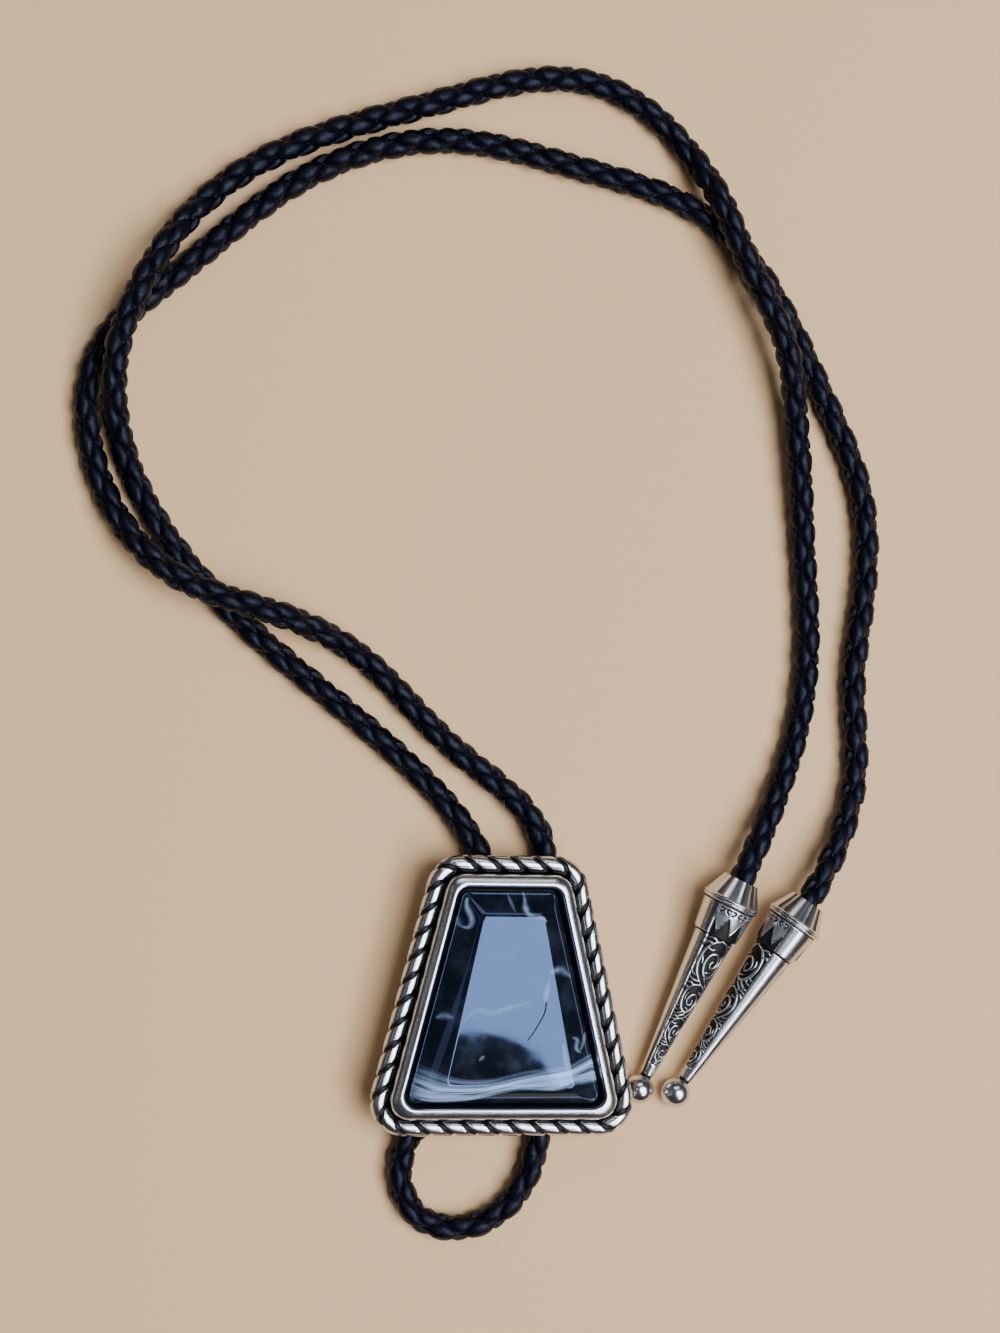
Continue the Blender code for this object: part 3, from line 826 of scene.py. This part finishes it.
# The stone's markings from above, in millimetres: the bands' upper edge, brightest line and foot.
BAND_TOP = (
    (-16.0, -11.4), (-13.0, -12.2), (-9.8, -13.2), (-5.9, -13.6), (-1.9, -13.3), (2.1, -12.4), (6.0, -11.7),
    (10.0, -11.1), (14.0, -9.6),
)
BAND_MIDDLE = (
    (-16.2, -13.9), (-12.9, -14.9), (-8.9, -15.2), (-4.9, -15.1), (-1.0, -14.3), (3.0, -13.3), (6.9, -12.6),
    (10.1, -12.0), (14.3, -10.6),
)
BAND_FOOT = (
    (-16.3, -16.4), (-12.7, -17.1), (-8.8, -17.1), (-4.8, -16.6), (-1.7, -15.7), (1.5, -15.0), (4.7, -14.8),
    (7.9, -14.9), (11.3, -13.8),
)
# How strong the bands are, from their upper edge (0) past their brightest line (1) to their foot (2).
BAND_STRENGTH = (
    (-0.35, 0.0), (0.0, 0.2), (0.4, 0.22), (0.75, 0.5), (0.95, 1.0), (1.1, 0.95), (1.3, 0.55), (1.6, 0.6),
    (1.95, 0.5), (2.15, 0.0),
)
# How pale each wisp is, its half width, and its points.
WISPS = (
    (0.25, 0.22, ((-0.5, 17.3), (0.0, 15.8), (0.6, 14.4))),
    (0.6, 0.3, ((2.2, 17.4), (2.3, 16.0), (2.3, 14.9), (2.9, 14.0), (4.3, 13.7), (5.2, 13.5), (5.8, 12.9))),
    (0.5, 0.42, ((2.3, 15.3), (2.5, 14.4))),
    (0.6, 0.36, ((-7.3, 16.4), (-7.4, 15.4), (-6.9, 14.0), (-6.6, 12.7), (-7.0, 11.8), (-8.1, 11.8))),
    (0.3, 0.5, ((-9.0, 13.4), (-8.7, 12.4), (-8.2, 11.9))),
    (0.34, 0.5, ((6.7, 4.4), (8.2, 4.9), (9.6, 4.2), (10.3, 3.7))),
    (0.3, 0.42, ((6.5, 2.8), (6.2, 1.2), (5.9, -0.4))),
    (0.36, 0.34, ((10.9, -6.4), (11.7, -6.9), (11.5, -8.0), (12.3, -8.9))),
    (0.3, 0.3, ((13.2, -5.9), (12.9, -7.3), (12.4, -8.4))),
    (0.3, 0.45, ((-11.8, -3.2), (-10.5, -2.9), (-9.4, -3.1))),
    (0.16, 0.4, (
        (-7.5, -3.6), (-6.6, -2.6), (-5.4, -1.9), (-3.4, -2.2), (-1.4, -1.8), (0.8, -1.1), (3.2, -0.6))),
    (0.3, 0.22, ((-4.8, -10.0), (-4.1, -9.4))),
    (0.35, 0.4, ((9.2, -7.5), (9.8, -10.5), (10.5, -13.4))),
    (0.55, 0.28, ((1.5, -14.5), (5.5, -14.7), (9.9, -14.5))),
)
CRACK = ((6.1, -0.2), (5.9, -2.1), (4.9, -4.1), (3.8, -5.9), (3.1, -6.8))
MARKING_STEPS = 80
# Where across the stone the bands start, and over how far they come in.
BANDS_FROM, BANDS_OVER = -17.0, 4.0
# What is added, in millimetres, to the distance from the crack of places above and below it.
PAST_CRACK = 90.0


def band_flow(places):
    """How far down the bands a place lies: 0 on the upper edge, 1 on the brightest line, 2 on the foot."""
    across, y = places[..., 0], places[..., 1]
    top, middle, foot = (
        np.interp(across, *spline_through(line, MARKING_STEPS)[0].T)
        for line in (BAND_TOP, BAND_MIDDLE, BAND_FOOT)
    )
    return np.where(y > middle, (top - y) / (top - middle), 1.0 + (middle - y) / (middle - foot))


def stone_markings(rings):
    """Where each point of the stone lies in the bands and from the crack, and how pale it is."""
    places = rings[..., :2] / MM
    flow = band_flow(places)
    bands = np.interp(flow, *np.transpose(BAND_STRENGTH))
    bands *= smoothstep((places[..., 0] - BANDS_FROM) / BANDS_OVER)
    wisp = np.zeros(flow.shape)
    for strength, half_width, points in WISPS:
        tapered = (0.4 * half_width, half_width, half_width, 0.4 * half_width)
        pale = np.exp(-stroke_distance(places, points, tapered, MARKING_STEPS))
        wisp = np.maximum(wisp, strength * pale)
    crack_x, crack_y = spline_through(CRACK, MARKING_STEPS)[0][::-1].T
    past_ends = (places[..., 1] < crack_y[0]) | (places[..., 1] > crack_y[-1])
    from_crack = places[..., 0] - np.interp(places[..., 1], crack_y, crack_x)
    from_crack += np.copysign(PAST_CRACK * past_ends, from_crack)
    return {"flow": np.clip(flow, -3.0, 4.0), "bands": bands, "wisp": wisp, "from_crack": from_crack}


def stone_material(settings):
    """Polished black stone with pale lines that flow across its foot, a few wisps, and a crack."""
    material, tree, shader = new_material("banded_stone")
    place = object_place(tree)
    sides = add_node(tree, "ShaderNodeSeparateXYZ", {0: place})
    along = add_node(tree, "ShaderNodeCombineXYZ", {
        0: maths(tree, "MULTIPLY", attribute(tree, "flow"), 3.4),
        1: maths(tree, "MULTIPLY", sides.outputs[0], 90.0),
    })
    lines = noise(tree, along.outputs[0], 1.0, 3.0, 0.62, 0.5)
    striped = maths(tree, "MULTIPLY", attribute(tree, "bands"), shaped(tree, lines, 0.34, 0.6, 0.14, 1.3))
    cloud = noise(tree, place, 420.0, 4.0)
    broken = maths(tree, "MULTIPLY", attribute(tree, "wisp"), shaped(tree, cloud, 0.3, 0.66, 0.35, 1.1))
    haze = noise(tree, place, 230.0, 5.0)
    film = shaped(tree, haze, 0.4, 0.75, 0.0, 0.03)
    pale = maths(tree, "MAXIMUM", maths(tree, "MAXIMUM", striped, broken), film)
    feed(tree, shader, {
        "Base Color": mix_colours(tree, pale, settings.ground, settings.band),
        "Roughness": shaped(tree, haze, 0.3, 0.75, 0.02, 0.05),
        "IOR": 1.62,
        "Specular IOR Level": 0.6,
        "Specular Tint": settings.shine,
    })
    crack = shaped(tree, maths(tree, "ABSOLUTE", attribute(tree, "from_crack")), 0.0, 0.12)
    add_relief(tree, shader, crack, 1.0, 0.08 * MM)
    return material


class BOLO_OT_stone(bpy.types.Operator):
    """Cut the stone and colour its bands"""

    bl_idname = "bolo.stone"
    bl_label = "Stone"

    def execute(self, context):
        rings = stone_rings(context.scene.bolo_slide)
        mesh = grid_mesh("cut_stone", rings, **stone_markings(rings))
        mesh.set_sharp_from_angle(angle=math.radians(20))
        place_piece("cut_stone", mesh, stone_material(context.scene.bolo_stone), "stone")
        return {"FINISHED"}


# The tips. Distances run from the middle of the ball along the tip's axis.

BALL_RADIUS = 2.5 * MM
BALL_ROWS = 20
NECK = ((2.42, 0.98), (2.60, 0.92), (2.80, 0.97), (2.88, 1.08))
TAPER_START, TAPER_END = 2.95 * MM, 29.1 * MM
TAPER_START_RADIUS, TAPER_END_RADIUS = 1.17 * MM, 3.52 * MM
TAPER_SLOPE = (TAPER_END_RADIUS - TAPER_START_RADIUS) / (TAPER_END - TAPER_START)
SCROLL_ROWS = 300
STEP = ((29.14, 3.36), (29.30, 3.36), (29.38, 3.88))
COLLAR_START, COLLAR_END = 29.44 * MM, 34.7 * MM
COLLAR_START_RADIUS, COLLAR_END_RADIUS = 3.95 * MM, 4.60 * MM
COLLAR_ROWS = 54
# Distance, radius and blackness of the neck between collar and flange, and of the flange's two rings.
FLANGE = (
    (34.78, 4.46, 1.0), (34.92, 4.46, 1.0), (35.02, 4.72, 0.3), (35.12, 4.90, 0.0), (35.24, 5.01, 0.0),
    (35.38, 5.01, 0.0), (35.48, 4.92, 0.2), (35.54, 4.85, 0.8), (35.60, 4.92, 0.2), (35.70, 5.03, 0.0),
    (35.84, 5.05, 0.0), (35.98, 4.98, 0.0), (36.08, 4.84, 0.0),
)
FLANGE_AT, FLANGE_RADIUS = 35.35 * MM, 5.05 * MM
MOUTH_FACETS = 20
MOUTH_ROWS = 6
FLUTE_DEPTH = 0.06 * MM
MOUTH_START, MOUTH_START_RADIUS = 36.14 * MM, 4.80 * MM
MOUTH_END, MOUTH_END_RADIUS = 39.7 * MM, 3.1 * MM
HOLE_RADIUS = 2.61 * MM
HOLE_DEPTH = 6.0 * MM
CORD_END_GAP = 0.3 * MM
# Steps in a facet of the mouth whose middle is less than so many degrees from a panel's middle.
FACET_STEPS = ((50, 13), (68, 10), (90, 6))
PANEL_HALF = math.radians(57)
PANEL_EDGE = math.radians(6)
PANEL_DEPTH, PANEL_DEPTH_SHARE = 0.34 * MM, 0.11
# Blackness of a panel's backs, and how much more its ground has.
PANEL_BLACK, GROUND_BLACK = 0.22, 0.7
SURFACE_RADIUS = 4.0 * MM

# One bay of the scrollwork: half widths, and points across (in radians) and down (0 to 1 of the bay).
LEAF, SHORT_LEAF, THIN_LEAF = (0.05, 0.09, 0.03), (0.05, 0.08, 0.03), (0.03, 0.06, 0.03)
BAY_STROKES = (
    ((0.05, 0.10, 0.13, 0.10, 0.05), ((0.0, 0.0), (-0.52, 0.13), (-0.82, 0.42), (-0.64, 0.76), (0.0, 1.0))),
    ((0.05, 0.11, 0.12, 0.11, 0.09, 0.08, 0.06), (
        (-0.10, 0.02), (0.28, 0.05), (0.62, 0.17), (0.76, 0.38), (0.66, 0.62), (0.34, 0.79), (-0.06, 0.80),
        (-0.36, 0.66), (-0.42, 0.46), (-0.22, 0.31), (0.08, 0.29), (0.32, 0.40), (0.30, 0.55), (0.06, 0.60),
        (-0.10, 0.52), (0.0, 0.45))),
    (LEAF, ((-0.30, 0.06), (-0.62, 0.01), (-0.94, 0.06))),
    (LEAF, ((-0.50, 0.12), (-0.74, 0.11), (-0.97, 0.21))),
    (LEAF, ((-0.50, 0.85), (-0.74, 0.84), (-0.96, 0.75))),
    (LEAF, ((-0.26, 0.95), (-0.62, 0.96), (-0.95, 0.90))),
    (LEAF, ((0.64, 0.66), (0.82, 0.71), (0.97, 0.66))),
    ((0.05, 0.10, 0.03), ((0.50, 0.73), (0.76, 0.82), (0.97, 0.80))),
    ((0.05, 0.11, 0.03), ((0.28, 0.82), (0.58, 0.92), (0.93, 0.95))),
    (LEAF, ((0.02, 0.86), (0.28, 0.95), (0.62, 1.04))),
    (LEAF, ((0.42, 0.08), (0.70, 0.04), (0.96, 0.09))),
    (LEAF, ((0.66, 0.19), (0.84, 0.16), (0.97, 0.26))),
    (SHORT_LEAF, ((-0.78, 0.40), (-0.64, 0.47), (-0.55, 0.58))),
    (SHORT_LEAF, ((-0.60, 0.22), (-0.42, 0.24), (-0.22, 0.20))),
    (THIN_LEAF, ((0.50, 0.30), (0.56, 0.40), (0.50, 0.52))),
    (THIN_LEAF, ((-0.20, 0.72), (0.02, 0.71), (0.22, 0.68))),
)
BAY_LENGTH = 2.65
BAYS = 4
SCROLL_FROM = 4.7 * MM
SCROLL_EASE = 0.5 * MM

# The collar's leaves: their pitch, where their points and their shoulders lie, their height, and their
# rim's inset and width in millimetres. Over them is a band with curls cut into it.
LEAF_PITCH = math.radians(38)
LEAF_POINT, LEAF_SHOULDER = 29.95 * MM, 33.0 * MM
LEAF_HEIGHT = 0.8
LEAF_RIM_INSET, LEAF_RIM_WIDTH = 0.28, 0.22
BAND_HEIGHT, BAND_GAP, BAND_EASE = 0.85, 0.1 * MM, 0.15 * MM
CURL_PITCH = math.radians(15)
CURL_DEPTH = 0.8
CURL_HALF_WIDTHS = (0.022, 0.03, 0.022)
CURL = ((-0.075, 34.25), (0.01, 34.35), (0.055, 34.05), (0.0, 33.75), (-0.06, 33.55))


def tip_angles():
    """Angles round a tip, closest over its engraved panels, and the number of each mouth facet's first."""
    facet_width = 360 / MOUTH_FACETS
    angles, firsts = [], []
    for facet in range(MOUTH_FACETS):
        from_panel = abs((facet + 0.5) * facet_width % 180 - 90)
        steps = next(steps for limit, steps in FACET_STEPS if from_panel < limit)
        firsts.append(len(angles))
        angles += [(facet + step / steps) * facet_width for step in range(steps)]
    return np.radians(angles), firsts


def from_panel_middle(angles):
    """Signed angles from the middle of the nearest engraved panel, at 90 or 270 degrees."""
    return angles % math.pi - math.pi / 2


def panel_share(across, distance):
    """1 over the engraved panels and 0 over the plain ones, with a short slope between."""
    sides = smoothstep((PANEL_HALF - np.abs(across)) / PANEL_EDGE)
    return sides * smoothstep((distance - SCROLL_FROM) / SCROLL_EASE)


def scroll_relief(across, distance):
    """Height of the scrollwork on the taper, 0 on its ground and 1 on the back of a stroke.

    The pattern keeps its shape and shrinks with the taper, because its length is counted in radii.
    """
    radius = TAPER_START_RADIUS + (distance - TAPER_START) * TAPER_SLOPE
    length = np.log(radius / TAPER_START_RADIUS) / TAPER_SLOPE
    top = math.log(TAPER_END_RADIUS / TAPER_START_RADIUS) / TAPER_SLOPE
    places = np.stack(np.broadcast_arrays(across, length), axis=-1)
    height = np.zeros(places.shape[:-1])
    for bay in range(BAYS):
        side = 1 if bay % 2 == 0 else -1
        for half_widths, points in BAY_STROKES:
            count = 90 if len(points) > 6 else 36
            moved = [(side * x, top - (bay + down) * BAY_LENGTH) for x, down in points]
            height = np.maximum(height, ridge(stroke_distance(places, moved, half_widths, count)))
    return height


def collar_relief(across, distance):
    """Height of the collar's pointed leaves, and of the band over them with its curls."""
    mean_radius = (COLLAR_START_RADIUS + COLLAR_END_RADIUS) / 2
    places = np.stack(np.broadcast_arrays(across, distance / mean_radius), axis=-1)
    half_pitch = LEAF_PITCH / 2
    from_point = np.abs((across + half_pitch) % LEAF_PITCH - half_pitch) / half_pitch
    edge = LEAF_POINT + (LEAF_SHOULDER - LEAF_POINT) * from_point
    inward = (distance - edge) / MM
    rim = np.exp(-((inward - LEAF_RIM_INSET) / LEAF_RIM_WIDTH) ** 2) * (distance < LEAF_SHOULDER + 0.3 * MM)
    height = np.where(inward > 0.0, LEAF_HEIGHT, 0.0) + (1.0 - LEAF_HEIGHT) * rim
    band = smoothstep((distance - LEAF_SHOULDER - BAND_GAP) / BAND_EASE)
    height = height * (1 - band) + BAND_HEIGHT * band
    for number in range(-3, 4):
        flip = 1 if number % 2 else -1
        points = [(number * CURL_PITCH + flip * x, z * MM / mean_radius) for x, z in CURL]
        cut = ridge(stroke_distance(places, points, CURL_HALF_WIDTHS))
        height = height - CURL_DEPTH * cut * (height > 0.0)
    return np.clip(height, 0.0, 1.0)


def cone_rows(start, start_radius, end, end_radius, count):
    """Bright rows at even steps along a cone."""
    return [
        (start + (end - start) * share, start_radius + (end_radius - start_radius) * share, 0.0)
        for share in np.linspace(0.0, 1.0, count)
    ]


def tip_rows():
    """Each row's distance, plain radius and blackness, and the number of each form's first row."""
    rows = []
    for degrees in np.linspace(-80, 64, BALL_ROWS):
        turned = math.radians(degrees)
        rows.append((BALL_RADIUS * math.sin(turned), BALL_RADIUS * math.cos(turned), 0.0))
    rows += [(distance * MM, radius * MM, 0.9) for distance, radius in NECK]
    forms = {"taper": len(rows)}
    length = math.log(TAPER_END_RADIUS / TAPER_START_RADIUS) / TAPER_SLOPE
    fine_from = math.log(1 + (SCROLL_FROM - TAPER_START) * TAPER_SLOPE / TAPER_START_RADIUS) / TAPER_SLOPE
    for value in (*np.linspace(0.0, fine_from, 9)[:-1], *np.linspace(fine_from, length, SCROLL_ROWS)):
        radius = TAPER_START_RADIUS * math.exp(value * TAPER_SLOPE)
        rows.append((TAPER_START + (radius - TAPER_START_RADIUS) / TAPER_SLOPE, radius, 0.0))
    forms["step"] = len(rows)
    rows += [(distance * MM, radius * MM, 1.0) for distance, radius in STEP]
    forms["collar"] = len(rows)
    rows += cone_rows(COLLAR_START, COLLAR_START_RADIUS, COLLAR_END, COLLAR_END_RADIUS, COLLAR_ROWS)
    forms["flange"] = len(rows)
    rows += [(distance * MM, radius * MM, black) for distance, radius, black in FLANGE]
    forms["mouth"] = len(rows)
    rows += cone_rows(MOUTH_START, MOUTH_START_RADIUS, MOUTH_END, MOUTH_END_RADIUS, MOUTH_ROWS)
    forms["hole"] = len(rows)
    rows += [
        (MOUTH_END, HOLE_RADIUS + 0.08 * MM, 0.1), (MOUTH_END - 0.08 * MM, HOLE_RADIUS, 0.7),
        (MOUTH_END - 1.5 * MM, HOLE_RADIUS, 1.0), (MOUTH_END - HOLE_DEPTH + 0.1 * MM, HOLE_RADIUS, 1.0),
    ]
    return np.array(rows), forms


def tip_mesh():
    """The casting that both tips are, standing on its ball's middle."""
    angles, firsts = tip_angles()
    rows, forms = tip_rows()
    distance, radius, black = (column[:, None] for column in rows.T)
    radius = np.repeat(radius, len(angles), axis=1)
    black = np.repeat(black, len(angles), axis=1)
    across = from_panel_middle(angles)[None, :]
    for form, relief, end in (("taper", scroll_relief, "step"), ("collar", collar_relief, "flange")):
        part = slice(forms[form], forms[end])
        panel = panel_share(across, distance[part])
        height = relief(across, distance[part])
        depth = np.minimum(PANEL_DEPTH, PANEL_DEPTH_SHARE * radius[part])
        radius[part] -= depth * panel * (1.0 - height)
        black[part] = panel * (PANEL_BLACK + GROUND_BLACK * (1.0 - height ** 1.5))
    facets = slice(forms["mouth"], forms["hole"])
    half_facet = math.pi / MOUTH_FACETS
    in_facet = angles % (2 * half_facet) - half_facet
    radius[facets] *= math.cos(half_facet) / np.cos(in_facet)
    radius[facets] -= FLUTE_DEPTH * np.cos(math.pi / 2 * in_facet / half_facet)
    upright = np.broadcast_to(distance, radius.shape)
    rings = np.stack((radius * np.cos(angles), radius * np.sin(angles), upright), axis=-1)
    surface = np.stack((upright, np.broadcast_to(angles * SURFACE_RADIUS, radius.shape)), axis=-1)
    mesh = grid_mesh("engraved_tip", rings, surface, tarnish=black)
    mark_facets(mesh, len(angles), firsts, forms)
    return mesh


def mark_facets(mesh, sides, firsts, forms):
    """Keep the edges of the mouth's facets, and the mouth's two rims, sharp."""
    ends = np.empty(len(mesh.edges) * 2, dtype=np.int32)
    mesh.edges.foreach_get("vertices", ends)
    row, column = (part.reshape(-1, 2) for part in np.divmod(ends, sides))
    in_mouth = np.all((row >= forms["mouth"]) & (row < forms["hole"]), axis=1)
    between_facets = in_mouth & (column[:, 0] == column[:, 1]) & np.isin(column[:, 0], firsts)
    on_rim = (row[:, 0] == row[:, 1]) & np.isin(row[:, 0], (forms["mouth"], forms["hole"] - 1, forms["taper"]))
    mesh.attributes.new("sharp_edge", "BOOLEAN", "EDGE").data.foreach_set("value", between_facets | on_rim)


class BOLO_OT_tips(bpy.types.Operator):
    """Cast the two engraved tips"""

    bl_idname = "bolo.tips"
    bl_label = "Tips"

    def execute(self, context):
        finish = context.scene.bolo_metal
        metal = cast_metal("antique_silver_tips", finish, finish.tip_roughness, (40.0, 6000.0), 0.6, 0.12)
        for name, pose in TIPS.items():
            mesh = tip_mesh()
            mesh.transform(tip_pose(*pose))
            place_piece(f"{name}_casting", mesh, metal, name)
        return {"FINISHED"}


# The clip

class BOLO_OT_clip(bpy.types.Operator):
    """Give the clip behind the slide its steel finish"""

    bl_idname = "bolo.clip"
    bl_label = "Clip"

    def execute(self, context):
        material, tree, shader = new_material("clip_steel")
        height, mask = fine_grain(tree, object_place(tree), 150.0, 5000.0)
        feed(tree, shader, {
            "Base Color": (0.5, 0.5, 0.49),
            "Metallic": 1.0,
            "Roughness": maths(tree, "ADD", maths(tree, "MULTIPLY", mask, 0.15), 0.28),
        })
        add_relief(tree, shader, height, 0.3, 0.03 * MM)
        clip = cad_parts["cord_clip"]
        clip.data.materials.clear()
        clip.data.materials.append(material)
        return {"FINISHED"}


# The stage

CAMERA_PLACE = Vector((-70.33, 53.08, 414.24)) * MM
CAMERA_AIM = Vector((-1.04, 54.92, 0.0)) * MM
CAMERA_UP = Vector((-0.0265, 0.9996, 0.0))
CAMERA_LENS = 66.72
FLOOR_SIZE = 6.0
MATT = 0.7
OVERHEAD_PLACE = (0.57, 0.0, 1.4)
OVERHEAD_SIZE = (1.05, 0.84)
OVERHEAD_COLOUR = (0.92, 0.96, 1.0)
# A dark disc just under the overhead light, which the stone mirrors at the foot of its table.
FLAG_PLACE = (0.215, -0.257, 1.385)
FLAG_HALF_SIZE = (0.0625, 0.0515)
FLAG_SIDES = 48
FLAG_COLOUR = (0.12, 0.12, 0.13)
# Each softbox at the side: its name, its place, its width and height, and its share of the power.
SIDE_LIGHTS = (
    ("far_side", (-0.05, 1.05, 1.05), (0.9, 0.4), 1.2),
    ("left_strip", (-0.82, 0.1, 0.87), (1.0, 0.1), 0.1),
    ("lower_right", (0.78, -0.7, 1.3), (0.9, 0.4), 5.0),
)
SIDE_LIGHTS_AIM = Vector((0.0, 0.05, 0.0))
SIDE_LIGHTS_COLOUR = (0.96, 0.98, 1.0)
ROOM_LIGHT = (0.035, 0.037, 0.042)


class BOLO_OT_camera(bpy.types.Operator):
    """Place the camera where the tie is seen from"""

    bl_idname = "bolo.camera"
    bl_label = "Camera"

    def execute(self, context):
        data = bpy.data.cameras.new("camera")
        data.lens = CAMERA_LENS
        data.sensor_width = 36.0
        data.clip_start = 0.01
        data.clip_end = 50.0
        camera = bpy.data.objects.new("camera", data)
        context.collection.objects.link(camera)
        back = (CAMERA_PLACE - CAMERA_AIM).normalized()
        right = CAMERA_UP.cross(back).normalized()
        turn = Matrix((right, back.cross(right), back)).transposed()
        camera.matrix_world = Matrix.Translation(CAMERA_PLACE) @ turn.to_4x4()
        context.scene.camera = camera
        return {"FINISHED"}


def sheet(name, corners, colour):
    """A flat, matt, plain piece of the stage."""
    mesh = bpy.data.meshes.new(name)
    mesh.from_pydata(corners, [], [tuple(range(len(corners)))])
    piece = bpy.data.objects.new(name, mesh)
    bpy.context.collection.objects.link(piece)
    material, tree, shader = new_material(f"plain_{name}")
    feed(tree, shader, {"Base Color": colour, "Roughness": MATT})
    mesh.materials.append(material)


def softbox(name, place, size, power, colour):
    """A soft rectangular light, which shines straight down until it is turned."""
    data = bpy.data.lights.new(name, "AREA")
    data.shape = "RECTANGLE"
    data.size, data.size_y = size
    data.energy = power
    data.color = colour
    light = bpy.data.objects.new(name, data)
    bpy.context.collection.objects.link(light)
    light.location = place
    return light


def room_world(settings):
    """A plain pale room behind the floor, which lights the tie only dimly."""
    world = bpy.data.worlds.new("room")
    world.use_nodes = True
    tree = world.node_tree
    seen = add_node(tree, "ShaderNodeLightPath").outputs["Is Camera Ray"]
    feed(tree, tree.nodes["Background"], {"Color": mix_colours(tree, seen, ROOM_LIGHT, settings.room)})
    return world


class BOLO_OT_stage(bpy.types.Operator):
    """Lay the plain floor and hang the soft lights"""

    bl_idname = "bolo.stage"
    bl_label = "Stage"

    def execute(self, context):
        settings = context.scene.bolo_stage
        half = FLOOR_SIZE / 2
        sheet("floor", [(-half, -half, 0), (half, -half, 0), (half, half, 0), (-half, half, 0)], settings.floor)
        turns = np.linspace(0.0, math.tau, FLAG_SIDES + 1)[:-1]
        around = np.stack((np.cos(turns), np.sin(turns), 0 * turns), axis=1) * (*FLAG_HALF_SIZE, 0.0)
        sheet("flag", (around + FLAG_PLACE).tolist(), FLAG_COLOUR)
        softbox("overhead", OVERHEAD_PLACE, OVERHEAD_SIZE, settings.key, OVERHEAD_COLOUR)
        for name, place, size, share in SIDE_LIGHTS:
            light = softbox(name, place, size, settings.fill * share, SIDE_LIGHTS_COLOUR)
            light.rotation_euler = (SIDE_LIGHTS_AIM - light.location).to_track_quat("-Z", "Y").to_euler()
        context.scene.world = room_world(settings)
        return {"FINISHED"}


class BOLO_PT_panel(bpy.types.Panel):
    """The tie's pieces and their settings"""

    bl_idname = "BOLO_PT_panel"
    bl_label = "Bolo Tie"
    bl_space_type = "VIEW_3D"
    bl_region_type = "UI"
    bl_category = "Bolo Tie"

    def draw(self, context):
        scene = context.scene
        for operator in OPERATORS:
            self.layout.operator(operator.bl_idname)
        for name in SETTINGS:
            box = self.layout.box()
            group = getattr(scene, name)
            for key in group.__annotations__:
                box.prop(group, key)


OPERATORS = (
    BOLO_OT_camera, BOLO_OT_cord, BOLO_OT_slide, BOLO_OT_stone, BOLO_OT_tips, BOLO_OT_clip, BOLO_OT_stage,
)
SETTINGS = {
    "bolo_cord": CordSettings,
    "bolo_metal": MetalSettings,
    "bolo_slide": SlideSettings,
    "bolo_stone": StoneSettings,
    "bolo_stage": StageSettings,
}


def register():
    for settings in SETTINGS.values():
        bpy.utils.register_class(settings)
    for operator in OPERATORS:
        bpy.utils.register_class(operator)
    bpy.utils.register_class(BOLO_PT_panel)
    for name, settings in SETTINGS.items():
        setattr(bpy.types.Scene, name, PointerProperty(type=settings))


def unregister():
    for name in SETTINGS:
        delattr(bpy.types.Scene, name)
    bpy.utils.unregister_class(BOLO_PT_panel)
    for operator in reversed(OPERATORS):
        bpy.utils.unregister_class(operator)
    for settings in reversed(SETTINGS.values()):
        bpy.utils.unregister_class(settings)


def main():
    """Make every piece in order."""
    register()
    bpy.ops.bolo.camera()
    bpy.ops.bolo.cord()
    bpy.ops.bolo.slide()
    bpy.ops.bolo.stone()
    bpy.ops.bolo.tips()
    bpy.ops.bolo.clip()
    bpy.ops.bolo.stage()
    bpy.context.view_layer.update()


if __name__ == "__main__":
    main()
